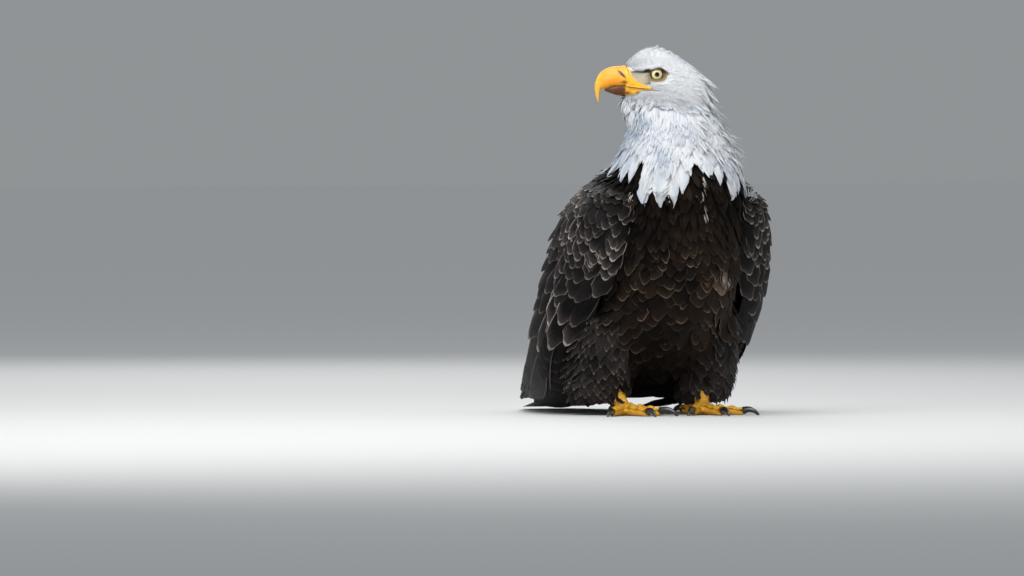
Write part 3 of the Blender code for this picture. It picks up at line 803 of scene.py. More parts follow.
class Vane:
    """One feather's closed shape: x across from -1 to 1, y from root to tip, z thick."""

    def __init__(self, across, along, width, tip_bow, notches=()):
        bm = bmesh.new()
        bmesh.ops.create_grid(bm, x_segments=across, y_segments=along, size=1.0)
        grid = bm.verts.layers.float_vector.new("grid")
        for vert in bm.verts:
            x, y = vert.co.x, (vert.co.y + 1) / 2
            vert[grid] = (x / 2 + 0.5, y, 0)
            notch = sum(cut for place, cut in notches if abs(x - place) < 1e-3 and y > 1 - 1e-3)
            rim = max(abs(x), abs(2 * y - 1)) > 1 - 1e-3
            crown = 0.0 if rim else 1 - 0.6 * x * x
            vert.co = (x * through(width, y)[0][0], y - tip_bow * x * x * y ** 4 - notch, crown)
        bmesh.ops.mirror(bm, geom=bm.verts[:] + bm.edges[:] + bm.faces[:], merge_dist=1e-4, axis="Z")
        bmesh.ops.recalc_face_normals(bm, faces=bm.faces)
        self.at = np.array([vert.co[:] for vert in bm.verts])
        self.map = np.array([vert[grid][:2] for vert in bm.verts])
        self.faces = np.array([[vert.index for vert in face.verts] for face in bm.faces])
        bm.free()


def weights(count, at):
    """How much each of the evenly spaced stations bears on a smooth curve at each place."""
    return through(np.column_stack([np.linspace(0, 1, count), np.eye(count)]), at)


def for_each(values, count):
    """A column with a number for each feather, from one for all or one for each."""
    return np.broadcast_to(np.asarray(values, dtype=float).reshape(-1, 1), (count, 1))


def sunk(shares, depth):
    """How deep every feather lies in the coat at each station from root to tip."""
    return np.array(shares)[:, None] * depth


def lay(vane, guide, ups, width, thick, curl=0.0, twist=0.0):
    """Places of every vane vertex along its guide: (feathers, stations, 3) and the upward sides."""
    count, stations = guide.shape[:2]
    at = np.clip(vane.at[:, 1], 0, 1)
    basis = weights(stations, at)
    next_at = np.minimum(at + 0.02, 1)
    ahead = weights(stations, next_at) - weights(stations, next_at - 0.02)
    spine = np.einsum("km,nmc->nkc", basis, guide)
    heading = unit(np.einsum("km,nmc->nkc", ahead, guide))
    up = np.einsum("km,nmc->nkc", basis, ups)
    across = unit(np.cross(heading, up))
    up = unit(np.cross(across, heading))
    if np.any(twist):
        turn = (for_each(twist, count) * at)[..., None]
        across, up = across * np.cos(turn) + up * np.sin(turn), up * np.cos(turn) - across * np.sin(turn)
    aside = for_each(width, count) / 2 * vane.at[None, :, 0]
    bend = for_each(curl, count) * vane.at[None, :, 0] + 1e-9
    reach = aside * np.sin(bend) / bend
    drop = aside * (1 - np.cos(bend)) / bend
    raised = vane.at[None, :, 2] * for_each(thick, count) / 2 - drop
    return spine + across * reach[..., None] + up * raised[..., None]


BAKE_PATCH = 0.003
VANE_CREASE = math.radians(70)


def coat(name, batches, finish):
    """Joins batches of (vane, places, root uvs, tone, pale) in one piece with maps and attributes."""
    points, faces, vane_uv, bake_uv, tones, pales = [], [], [], [], [], []
    total = 0
    for vane, places, roots_uv, tone, pale in batches:
        count, size = places.shape[:2]
        points.append(places.reshape(-1, 3))
        block = vane.faces[None] + (np.arange(count) * size)[:, None, None] + total
        faces.append(block.reshape(-1, 4))
        corners = vane.map[vane.faces.ravel()]
        vane_uv.append(np.tile(corners, (count, 1)))
        patch = (corners[None] - 0.5) * BAKE_PATCH + np.asarray(roots_uv)[:, None]
        bake_uv.append(patch.reshape(-1, 2))
        tones.append(np.repeat(tone, size))
        pales.append(np.repeat(pale, size))
        total += count * size
    mesh = bpy.data.meshes.new(name)
    mesh.from_pydata(np.concatenate(points).tolist(), [], np.concatenate(faces).tolist())
    for layer, values in (("Vane", vane_uv), ("OFBake", bake_uv)):
        mesh.uv_layers.new(name=layer).data.foreach_set("uv", np.concatenate(values).ravel())
    for key, values in (("tone", tones), ("pale", pales)):
        mesh.attributes.new(key, "FLOAT", "POINT").data.foreach_set("value", np.concatenate(values))
    mesh.uv_layers["Vane"].active_render = True
    piece = link(name, mesh)
    dress(piece, finish, VANE_CREASE)
    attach(piece, "root")
    return piece


WAVES = random.normal(0, 1, (24, 3))
WAVE_START = random.uniform(0, 2 * math.pi, 24)


def patchy(points, size):
    """A slow, irregular swing from about -1 to 1 over the body, for worn and fresh patches."""
    return np.sin(points @ (WAVES.T / size) + WAVE_START).sum(axis=1) / 4.5


def scattered(allowed, spacing, crowd=14):
    """Even but irregular places on the form's faces where allowed(middle, part) is above 0."""
    open_face = allowed(face_middle, face_part)
    corners = form_at[triangle_verts]
    crossed = np.cross(corners[:, 1] - corners[:, 0], corners[:, 2] - corners[:, 0])
    area = np.linalg.norm(crossed, axis=1) / 2 * open_face[triangle_face]
    gap = spacing(corners.mean(axis=1)) * np.ones(len(area))
    chance = area / gap ** 2
    count = int(chance.sum() * crowd)
    pick = random.choice(len(area), size=count, p=chance / chance.sum())
    a, b = random.random((2, count, 1))
    flip = a + b > 1
    a, b = np.where(flip, 1 - a, a), np.where(flip, 1 - b, b)
    places = corners[pick, 0] * (1 - a - b) + corners[pick, 1] * a + corners[pick, 2] * b
    gaps = gap[pick]
    cell = gaps.max()
    taken = {}
    kept = []
    keys = np.floor(places / cell).astype(int)
    for i in range(count):
        x, y, z = keys[i]
        near = [j for dx in (-1, 0, 1) for dy in (-1, 0, 1) for dz in (-1, 0, 1)
                for j in taken.get((x + dx, y + dy, z + dz), ())]
        if near and (((places[near] - places[i]) ** 2).sum(axis=1) < gaps[i] ** 2).any():
            continue
        taken.setdefault((x, y, z), []).append(i)
        kept.append(i)
    return places[kept], triangle_face[pick[kept]]


def along_skin(start, length, flow, sink, lift):
    """Guides that follow the flow over the form, sunk at the root and raised towards the tip."""
    steps = len(sink)
    at = start.copy()
    guide = np.empty((len(start), steps, 3))
    ups = np.empty((len(start), steps, 3))
    for k in range(steps):
        for i, point in enumerate(at):
            hit, normal, _, _ = form_tree.find_nearest(Vector(point))
            at[i] = hit
            ups[i, k] = normal
        if k:
            ups[:, k] = unit(ups[:, k] + ups[:, k - 1])
        guide[:, k] = at + ups[:, k] * (lift * (k / (steps - 1)) ** 2 - sink[k])[:, None]
        heading = flow(at, ups[:, k])
        heading = unit(heading - ups[:, k] * (heading * ups[:, k]).sum(axis=1, keepdims=True))
        at = at + heading * (length / (steps - 1))[:, None]
    near_face = np.linalg.norm(start - np.array(head_point(0, 0, 0)), axis=1) < 0.06
    guide[near_face] += face_relief(guide[near_face].reshape(-1, 3)).reshape(-1, steps, 3)
    return guide, ups


def vane_map(finish):
    """How far from the middle and how far along a feather or scale, each from 0 to 1."""
    vane = finish.node("UVMap", {}, {"uv_map": "Vane"})
    across = finish.node("SeparateXYZ", {"Vector": vane}, {})
    along = Socket(finish, across.socket.node.outputs["Y"])
    return abs(across * 2 - 1), along


def feather_finish(name, dark, light, fringe, barbs, shaft=None, rough=0.62, spec=0.25, relief=0.6,
                   streaky=0.5):
    """Barbed vanes: a tone for each feather, a paler fringe with a soft painted highlight inside it, a shaft,
    and fine slanting barbs.
    """
    finish = Finish(name)
    from_shaft, along = vane_map(finish)
    tone = finish.attribute("tone")
    pale = finish.attribute("pale")
    streak = finish.node("TexNoise", {"Vector": finish.node("CombineXYZ", {
        "X": (from_shaft * 2.0 - along * 5.0) * 9.0 + tone * 50, "Y": tone * 90 + from_shaft, "Z": 0.0}, {}),
        "Scale": 1.0, "Detail": 3.0}, {})
    shade = ((streak.ramp(0.25, 0.75) - 0.5) * streaky + tone * 0.9 + 0.05).ramp(0.0, 1.0)
    rim = (along + streak * 0.04).ramp(0.945, 1.0)
    side_rim = (from_shaft + streak * 0.05).ramp(0.90, 1.0) * along.ramp(0.25, 0.60)
    # A soft painted highlight just inside the pale edge, as strong as the edge is pale.
    rim_highlight = (along + from_shaft * from_shaft * 0.18 + streak * 0.25).ramp(0.80, 1.25) * 0.22
    colour = finish.mix(rim.or_more(side_rim).or_more(rim_highlight) * pale, finish.mix(shade, dark, light), fringe)
    worn_out = (pale - 1).ramp(0.0, 1.0) * (1 - from_shaft.ramp(0.35, 0.85)) * streak.ramp(0.3, 0.6)
    colour = finish.mix(worn_out, colour, fringe)
    if shaft:
        on_shaft = (1 - from_shaft.ramp(0.0, 0.07)) * (1 - along.ramp(0.75, 0.95)) * 0.8
        colour = finish.mix(on_shaft, colour, shaft)
    slants = ((from_shaft * 0.55 - along) * barbs).sine()
    finish.set(Base_Color=colour, Roughness=rough, Specular_IOR_Level=spec,
               Normal=finish.bump(slants * 0.35 + streak, 0.0006, relief))
    return finish


white_finish = feather_finish("white_feathers", (0.29, 0.335, 0.40), (0.61, 0.617, 0.628), (0.66, 0.66, 0.67),
                              barbs=110.0, spec=0.10, relief=0.25, streaky=0.2)

SHADE_MARKS = [
    # forward of the eye, up, half length, half height, strength: painted shade where the short feathers part
    # and under the jaw
    (-0.034, -0.003, 0.010, 0.0016, 0.45), (-0.046, -0.047, 0.006, 0.0022, 0.55),
    (-0.040, -0.0385, 0.012, 0.0016, 0.35), (-0.018, -0.038, 0.016, 0.0014, 0.30),
    (0.002, -0.047, 0.010, 0.0030, 0.60), (0.017, -0.058, 0.008, 0.0060, 1.0),
    (-0.030, -0.020, 0.014, 0.0013, 0.22), (-0.056, 0.002, 0.010, 0.0014, 0.30),
    (-0.016, 0.0135, 0.012, 0.0012, 0.20), (0.034, -0.062, 0.012, 0.018, 0.35),
    (0.022, -0.074, 0.018, 0.006, 0.50), (0.045, -0.115, 0.022, 0.030, 0.45),
    (-0.005, -0.100, 0.012, 0.040, 0.25)]
PARTING_SLANT = 0.22


def shade_marks(points):
    """Painted shade: soft grey shadows where the feathers part on the cheek and behind the eye, under the jaw
    and down the neck.
    """
    forward, side, up = in_head(points).T
    total = np.zeros(len(points))
    for place, height, long, tall, strength in SHADE_MARKS:
        along = forward - place
        total += strength * np.exp(-(along / long) ** 2 - ((up - height - along * PARTING_SLANT) / tall) ** 2)
    return total


HEAD_GAP = 0.0013
NAPE_WIDER = 0.0005
HEAD_LENGTH = 0.0070
NAPE_LONGER = 0.0085
THROAT_LONGER = 0.006
RUFFLE = 0.0040
SOFT_THICK = 0.0002
STRAND_THICK = 0.0003
head_vane = Vane(2, 3, [(0, 0.50), (0.33, 1.0), (0.67, 0.72), (1, 0.05)], 0.05)
bill_root = np.array(head_point(0.050, 0.0, -0.004))


def head_flow(at, normal):
    """Back from the bill, and more and more downwards on the nape and throat."""
    forward, side, up = in_head(at).T
    away = unit(at - bill_root)
    away = away + head_axes[2] * (0.25 * ease(0.0, 0.02, up))[:, None]
    down = np.array((0, 0, -1.0)) + head_axes[0] * (-0.15)
    turn = ease(-0.020, -0.075, up) * ease(0.045, -0.02, forward)
    turn = np.maximum(turn, ease(-0.055, -0.078, forward))
    return unit(away * (1 - turn)[:, None] + down * turn[:, None])


def head_gap(points):
    forward, side, up = in_head(points).T
    return HEAD_GAP + NAPE_WIDER * ease(0.035, -0.03, forward)


def on_head(points, part):
    forward, side, up = in_head(points).T
    inside_bill = (forward > 0.0405) & (up > -0.031) & (up < 0.0085)
    return (part == "head") & (bare_face(points) < 0.4) & ~inside_bill


roots, root_face = scattered(on_head, head_gap, 9)
forward, side, up = in_head(roots).T
size = HEAD_LENGTH + NAPE_LONGER * ease(0.035, -0.05, forward) + THROAT_LONGER * ease(-0.03, -0.07, up)
size *= random.uniform(0.8, 1.2, len(roots))
lift = random.normal(0.0001, 0.0002, len(roots)).clip(-0.0003, 0.001)
ruffled = (ease(-0.028, -0.07, forward) + ease(0.028, 0.036, up)) * random.random(len(roots)) ** 5
lift += ruffled * RUFFLE
guide, ups = along_skin(roots, size, head_flow, sunk([0.8, 0.35, 0.0], face_depth[root_face]), lift)
places = lay(head_vane, guide, ups, size * 0.095 + 0.0014, SOFT_THICK, curl=0.15,
             twist=random.normal(0, 0.08, len(roots)))
# The tone falls lower on the head as painted shade, and the painted shade marks are taken off it.
tone = 0.84 + 0.22 * patchy(roots, 0.009) + random.normal(0, 0.05, len(roots)) - 0.12 * ease(-0.01, -0.05, up)
tone = (tone - shade_marks(guide[:, 1])).clip(0, 1)
coat("head_feathers", [(head_vane, places, face_uv[root_face], tone, np.zeros(len(roots)))],
     white_finish)


def on_lores(points, part):
    forward, side, up = in_head(points).T
    under_brow = (forward > 0.011) & (up < brow_height(forward) - 0.0008)
    return (part == "head") & (bare_face(points) > 0.6) & under_brow & (yellow_face(forward, up) < 0.35)


def lore_flow(at, normal):
    """Back from the bill and a little up, to the brow."""
    return np.tile(unit(head_axes[0] * -1 + (0, 0, 0.30)), (len(at), 1))


LORE_GAP = 0.00095
LORE_DEPTH = 0.0008
LORE_LENGTHS = (0.0028, 0.0050)
LORE_LIFTS = (0.0003, 0.0010)
LORE_BREADTH = 0.0006
roots, root_face = scattered(on_lores, lambda at: LORE_GAP, 9)
forward, side, up = in_head(roots).T
size = random.uniform(*LORE_LENGTHS, len(roots)) * ease(0.004, 0.020, forward).clip(0.3, 1)
lift = random.uniform(*LORE_LIFTS, len(roots))
guide, ups = along_skin(roots, size, lore_flow, sunk([0.7, 0.2, 0.0], np.full(len(roots), LORE_DEPTH)), lift)
places = lay(head_vane, guide, ups, LORE_BREADTH, STRAND_THICK, curl=0.3)
lore_finish = feather_finish("lore_bristles", (0.022, 0.018, 0.013), (0.80, 0.76, 0.62), (0.8, 0.8, 0.75),
                             barbs=110.0, spec=0.12)
# Close under the brow the bristles are painted dark: dark bristles together with painted shade of the brow.
brow_edge = brow_height(forward) - 0.0030 - 0.0024 * ease(0.034, 0.014, forward)
tone = (0.52 + 0.46 * ease(0.008, 0.026, forward)) * (1 - ease(-0.0008, 0.0010, up - brow_edge))
coat("lore_bristles", [(head_vane, places, face_uv[root_face], tone, np.zeros(len(roots)))],
     lore_finish)


def on_nape(points, part):
    forward, side, up = in_head(points).T
    crown = (part == "head") & (up > 0.030) & (forward < 0.018)
    nape = ((part == "head") | (part == "neck")) & (forward < -0.050) & (points[:, 2] > 0.385)
    return crown | nape


def on_chin(points, part):
    forward, side, up = in_head(points).T
    chin = (part == "head") & (up < -0.026) & (forward > 0.004) & (bare_face(points) < 0.4)
    throat = (part == "neck") & (forward > 0.010) & (up > -0.082) & (abs(side) < 0.030)
    return chin | throat


def chin_flow(at, normal):
    """Down and a little forward, as a loose beard."""
    return np.tile(unit(head_axes[0] * 0.25 + (0, 0, -1.0)), (len(at), 1))


def pull_to_locks(guide, gap, cling):
    """Draws the tips of neighbouring feathers together, and says in which lock each one is."""
    tips = guide[:, -1].copy()
    leads = tips[:1]
    for i in random.permutation(len(tips)):
        if ((leads - tips[i]) ** 2).sum(axis=1).min() > gap ** 2:
            leads = np.vstack([leads, tips[i]])
    which = np.argmin(((tips[:, None] - leads[None]) ** 2).sum(axis=2), axis=1)
    pull = (leads[which] - tips) * np.reshape(cling, (-1, 1))
    guide[:, -1] += pull
    guide[:, -2] += pull * 0.45
    return which


NAPE_STRAND = 0.034
CROWN_SHORTER = 0.020
NAPE_STAND = 0.0190
CROWN_FLATTER = 0.0130
CHIN_STRAND = 0.018
BEARD_STAND = 0.0060
STRAND_LOCK = 0.010
stray_vane = Vane(2, 4, [(0, 0.6), (0.3, 1.0), (0.7, 0.6), (1, 0.03)], 0.03)
batches = []
for where, gap, flow in ((on_nape, 0.0040, head_flow), (on_chin, 0.0023, chin_flow)):
    roots, root_face = scattered(where, lambda at: gap)
    forward, side, up = in_head(roots).T
    if where is on_nape:
        stir = (0.5 + 0.5 * patchy(roots, 0.006)).clip(0, 1)
        on_crown = ease(0.020, 0.032, up)
        size = (NAPE_STRAND - CROWN_SHORTER * on_crown) * random.uniform(0.6, 1.3, len(roots))
        stand = (NAPE_STAND - CROWN_FLATTER * on_crown) * stir ** 1.5
        lift = stand * random.uniform(0.5, 1, len(roots)) + 0.0006
    else:
        size = CHIN_STRAND * random.uniform(0.7, 1.25, len(roots))
        beard = BEARD_STAND * ease(0.012, 0.040, forward) * ease(-0.070, -0.045, up)
        lift = 0.0004 + beard * random.random(len(roots)) ** 2
    guide, ups = along_skin(roots, size, flow, sunk([0.8, 0.3, 0.0], face_depth[root_face]), lift)
    pull_to_locks(guide, STRAND_LOCK, 0.65)
    places = lay(stray_vane, guide, ups, 0.0012 + 0.055 * size, STRAND_THICK, curl=0.2,
                 twist=random.normal(0, 0.15, len(roots)))
    tone = (random.normal(0.78, 0.08, len(roots)) - shade_marks(guide[:, 1])).clip(0, 1)
    batches.append((stray_vane, places, face_uv[root_face], tone, np.zeros(len(roots))))
coat("nape_and_chin_strands", batches, white_finish)


# ---- Neck hackles -----------------------------------------------------------------------
# Long white lance-shaped feathers that hang from nape and throat, cling together in pointed
# locks and end ragged over the brown breast and shoulders.

HACKLE_GAP = 0.0022
HACKLE_LENGTH = 0.034
LOW_HACKLE_LONGER = 0.040
HACKLE_LEAST = 0.014
HACKLE_BREADTH = 0.0034
LOW_HACKLE_BROADER = 0.0026
HACKLE_LOCK = 0.019
LOCK_FEATHERS = 9
LANCE_LENGTHS = (0.044, 0.066)
LANCE_BREADTHS = (0.0075, 0.0115)
HEM_RADIUS = 0.085
hackle_vane = Vane(2, 5, [(0, 0.45), (0.3, 1.0), (0.55, 0.86), (0.8, 0.42), (1, 0.03)], 0.03)
soft_vane = Vane(2, 5, [(0, 0.45), (0.3, 1.0), (0.6, 1.0), (0.85, 0.70), (1, 0.16)], 0.05)
lance_vane = Vane(4, 7, [(0, 0.40), (0.3, 0.95), (0.55, 1.0), (0.8, 0.58), (0.93, 0.24), (1, 0.02)], 0.0)


def hide_map(points):
    """The unwrap's place nearest to each point."""
    return face_uv[[form_tree.find_nearest(Vector(point))[2] for point in points]]


def neck_flow(at, normal):
    """Down the neck, and forward under the jaw."""
    forward, side, up = in_head(at).T
    down = np.tile((0.0, 0.0, -1.0), (len(at), 1))
    back = head_axes[0] * (-0.55 * ease(-0.11, -0.04, up) * ease(-0.03, 0.03, forward))[:, None]
    return unit(down + back)


def on_neck(points, part):
    return (part == "neck") & (points[:, 2] > hem_at(points) + 0.010)


def neck_gap(points):
    return HACKLE_GAP + 0.0012 * ease(neck_high.z, neck_low.z + 0.03, points[:, 2])


roots, root_face = scattered(on_neck, neck_gap, 9)
low = ease(neck_high.z, neck_low.z + 0.03, roots[:, 2])
size = (HACKLE_LENGTH + LOW_HACKLE_LONGER * low) * random.uniform(0.7, 1.15, len(roots))
to_hem = (roots[:, 2] - hem_at(roots)) * 1.07 + random.normal(0, 0.0040, len(roots))
size = np.minimum(size, to_hem)
kept = size > HACKLE_LEAST
roots, root_face, low, size = roots[kept], root_face[kept], low[kept], size[kept]
lift = random.normal(0.0002, 0.0003, len(roots)).clip(-0.0003, 0.001)
guide, ups = along_skin(roots, size, neck_flow, sunk([0.8, 0.45, 0.12, -0.02], face_depth[root_face]), lift)
at_hem = ease(0.030, 0.008, guide[:, -1, 2] - hem_at(guide[:, -1]))
cling = (0.15 + 0.70 * at_hem) * (size / HACKLE_LENGTH).clip(0, 1) ** 2
lock = pull_to_locks(guide, HACKLE_LOCK, cling)
stand_off = random.gamma(0.5, 0.0014, len(roots))[lock] * (0.3 + 0.7 * low)
guide[:, 1:] += ups[:, 1:] * (stand_off[:, None] * np.array([0.2, 0.6, 1.0]))[..., None]
kept = guide[:, -1, 2] > hem_at(guide[:, -1]) - 0.006
width = (HACKLE_BREADTH + LOW_HACKLE_BROADER * low) * random.uniform(0.85, 1.15, len(roots))
lock_tone = random.normal(0, 0.10, len(roots))[lock]
tone = 0.72 + 0.16 * patchy(roots, 0.014) + lock_tone + random.normal(0, 0.05, len(roots))
tone = (tone - shade_marks(guide[:, 1])).clip(0, 1)
twist = random.normal(0, 0.05, len(roots))
batches = []
for vane, chosen in ((hackle_vane, kept & (at_hem > 0.3)), (soft_vane, kept & (at_hem <= 0.3))):
    places = lay(vane, guide[chosen], ups[chosen], width[chosen], SOFT_THICK, curl=0.15, twist=twist[chosen])
    batches.append((vane, places, face_uv[root_face[chosen]], tone[chosen], np.zeros(chosen.sum())))

# Round the hem, a lock of broad lances hangs at each low point, with its tips drawn together.
low_points = [HEM[i] for i in range(1, len(HEM) - 1) if HEM[i][1] < min(HEM[i - 1][1], HEM[i + 1][1])]
bearing = np.radians(np.repeat([degrees for degrees, _ in low_points], LOCK_FEATHERS))
bearing += random.normal(0, 0.035, len(bearing))
size = random.uniform(*LANCE_LENGTHS, len(bearing))
tip = np.repeat([height for _, height in low_points], LOCK_FEATHERS)
tip = tip + np.abs(random.normal(0, 0.005, len(bearing))) - 0.003
start = np.column_stack([neck_middle.x + HEM_RADIUS * np.sin(bearing),
                         neck_middle.y - HEM_RADIUS * np.cos(bearing), tip + size * 0.92])
sink = sunk([0.8, 0.40, 0.05, -0.10], np.full(len(start), COAT_DEPTH["neck"]))
guide, ups = along_skin(start, size, neck_flow, sink, random.uniform(0.0002, 0.0022, len(start)))
which = np.repeat(np.arange(len(low_points)), LOCK_FEATHERS)
ends = np.array([guide[which == k, -1].mean(axis=0) for k in range(len(low_points))])[which]
guide[:, -1] += (ends - guide[:, -1]) * (0.65, 0.65, 0.1)
places = lay(lance_vane, guide, ups, random.uniform(*LANCE_BREADTHS, len(start)), STRAND_THICK, curl=0.25,
             twist=random.normal(0, 0.06, len(start)))
tone = (0.66 + random.normal(0, 0.10, len(start)) - 0.6 * shade_marks(guide[:, 1])).clip(0, 1)
batches.append((lance_vane, places, hide_map(guide[:, 0]), tone, np.zeros(len(start))))
coat("neck_hackles", batches, white_finish)


# ---- Breast and belly feathers ----------------------------------------------------------
# Dark brown contour feathers, narrow on the breast and broad on belly and flanks, where
# worn pale fringes show as scales.

BREAST_GAP = 0.0068
BELLY_WIDER = 0.0062
BREAST_LENGTH = 0.034
BELLY_LONGER = 0.008
BREAST_BREADTH = 0.0095
BELLY_BROADER = 0.0190
BREAST_LOCK = 0.012
ABOVE_FLOOR = 0.022
BODY_THICK = 0.0006
breast_vane = Vane(4, 5, [(0, 0.35), (0.35, 0.85), (0.7, 1.0), (0.9, 0.90), (1, 0.62)], 0.15,
                   notches=((-0.5, 0.006), (0.5, 0.012)))
brown_finish = feather_finish("brown_feathers", (0.0018, 0.0011, 0.0008), (0.0165, 0.0098, 0.0060),
                              (0.19, 0.132, 0.092), barbs=120.0, shaft=(0.006, 0.004, 0.003),
                              rough=0.55, spec=0.07)


def body_flow(at, normal):
    """Down the breast and belly, then back under the vent; down and back along the back."""
    behind = ease(0.0, 0.10, at[:, 1] + 0.02)
    low = ease(0.16, 0.06, at[:, 2])
    down = np.zeros((len(at), 3))
    down[:, 2] = -1.0
    down[:, 1] = 0.12 + 0.9 * low + 0.5 * behind
    down[:, 0] = 0.30 * patchy(at, 0.016) - 0.25 * np.tanh(at[:, 0] / 0.06) * ease(0.30, 0.12, at[:, 2])
    return unit(down)


def on_trunk(points, part):
    return (part == "trunk") | ((part == "neck") & (points[:, 2] < hem_at(points) + 0.020))


PALE_MARKS = [
    # across the view, low, high, breadth, strength
    (0.0700, 0.275, 0.300, 0.0035, 0.4), (0.0960, 0.186, 0.202, 0.0050, 1.0),
    (-0.0350, 0.300, 0.322, 0.0050, 0.6), (0.0100, 0.225, 0.245, 0.0050, 0.5),
    (0.0420, 0.225, 0.250, 0.0050, 0.5)]
VIEW_ACROSS = np.array((0.906, -0.423, 0.0))
VIEW_SHIFT = 0.0462


def pale_marks(points):
    """The few worn, buff feathers scattered on the breast."""
    across = points @ VIEW_ACROSS - VIEW_SHIFT
    total = np.zeros(len(points))
    for place, low, high, breadth, strength in PALE_MARKS:
        beyond = np.maximum(np.maximum(low - points[:, 2], points[:, 2] - high), 0)
        total += strength * np.exp(-((across - place) / breadth) ** 2 - (beyond / 0.006) ** 2)
    return total * (points[:, 1] < 0)


roots, root_face = scattered(on_trunk, lambda at: BREAST_GAP + BELLY_WIDER * ease(0.30, 0.20, at[:, 2]))
broad = ease(0.31, 0.20, roots[:, 2])
size = (BREAST_LENGTH + BELLY_LONGER * broad) * random.uniform(0.85, 1.2, len(roots))
size = np.minimum(size, np.maximum(roots[:, 2] - ABOVE_FLOOR, 0.02))
lift = random.gamma(1.2, 0.0016, len(roots)).clip(0, 0.008) - 0.0004
guide, ups = along_skin(roots, size, body_flow, sunk([0.9, 0.45, 0.0], face_depth[root_face]), lift)
pull_to_locks(guide, BREAST_LOCK, 0.40 * (1 - broad) + 0.04)
width = (BREAST_BREADTH + BELLY_BROADER * broad) * random.uniform(0.75, 1.15, len(roots))
places = lay(breast_vane, guide, ups, width, BODY_THICK, curl=0.45, twist=random.normal(0, 0.15, len(roots)))
tone = 0.45 + 0.25 * patchy(roots, 0.022) + random.normal(0, 0.22, len(roots))
# Painted shade: the tone falls low on the body towards the floor.
tone = tone * ease(0.07, 0.19, roots[:, 2]).clip(0.25, 1)
across = roots @ VIEW_ACROSS - VIEW_SHIFT
flank = ease(0.035, 0.075, across) * (roots[:, 1] < 0.02) * ease(0.32, 0.27, roots[:, 2])
tone += 0.60 * flank
wings, _ = solids([f"wing_{side}_coverts" for side in SIDES])
wing_tree = BVHTree.FromBMesh(wings)
# Painted shade: feathers close to the folded wing are darkened.
beside_wing_shade = ease(0.045, 0.008, np.array([wing_tree.find_nearest(Vector(at))[3] for at in guide[:, 2]]))
tone *= 1 - 0.8 * beside_wing_shade
# Pale edges come from wear in patches and on the flank; painted shade thins them near the wing and towards
# the floor.
worn = (0.65 + 0.45 * patchy(roots, 0.018) + 0.4 * flank) * (1 - 0.85 * beside_wing_shade)
worn = worn.clip(0.05, 1) * ease(0.06, 0.18, roots[:, 2]).clip(0.2, 1)
pale = random.random(len(roots)) ** 1.7 * worn * 1.35 * (0.06 + 0.94 * broad) + pale_marks(guide[:, 1]) * 2
coat("body_feathers", [(breast_vane, places, face_uv[root_face], tone.clip(0, 1), pale)], brown_finish)


# ---- Stray white feathers ---------------------------------------------------------------
# A few worn white feathers that show among the brown ones, as a broken streak down the breast
# and flecks on flank and belly, and a tuft of straight down on the left shoulder.

STRAYS = [
    # across the view, low, high, spread, how many, length, how far the tips stand off
    (0.0640, 0.305, 0.345, 0.0012, 15, 0.014, 0.002), (0.0675, 0.278, 0.305, 0.0014, 12, 0.012, 0.002),
    (0.0965, 0.186, 0.197, 0.0018, 6, 0.012, 0.002), (0.1035, 0.184, 0.192, 0.0014, 4, 0.010, 0.002),
    (-0.0385, 0.290, 0.318, 0.0012, 9, 0.014, 0.002)]
VIEW_BACK = np.array((-0.423, -0.906, 0.0))
DOWN_ACROSS = 0.1350
DOWN_HEIGHT = 0.3145
DOWN_SPREAD = 0.0026
DOWN_LENGTH = 0.014
DOWN_COUNT = 60


def met_on(tree, across, height):
    """Places on the surface, met along the view at each distance across it and each height."""
    aims = VIEW_ACROSS * (across + VIEW_SHIFT)[:, None] + VIEW_BACK + np.outer(height, (0, 0, 1))
    hits = []
    for aim in aims:
        hit = tree.ray_cast(Vector(aim), Vector(-VIEW_BACK))[0]
        hits.append(hit or tree.find_nearest(Vector(aim - VIEW_BACK))[0])
    return np.array(hits)


across, height, size, lift = [], [], [], []
for place, low, high, spread, count, length, off in STRAYS:
    across.append(place + random.normal(0, spread, count))
    height.append(random.uniform(low, high, count) + length / 2)
    size.append(length * random.uniform(0.6, 1.2, count))
    lift.append(off * random.uniform(0.2, 1.0, count))
across, height, size, lift = (np.concatenate(values) for values in (across, height, size, lift))
start = met_on(form_tree, across, height)
sink = sunk([0.0020, -0.0010, -0.0016], np.ones(len(size)))
guide, ups = along_skin(start, size, body_flow, sink, lift)
places = lay(stray_vane, guide, ups, random.uniform(0.0010, 0.0020, len(size)), STRAND_THICK, curl=0.3,
             twist=random.normal(0, 0.3, len(size)))
tone = random.uniform(0.2, 0.9, len(size))
stray_finish = feather_finish("stray_feathers", (0.13, 0.10, 0.08), (0.50, 0.47, 0.44), (0.5, 0.48, 0.45),
                              barbs=110.0, spec=0.10)
coat("stray_white_feathers", [(stray_vane, places, hide_map(start), tone, np.zeros(len(size)))], stray_finish)

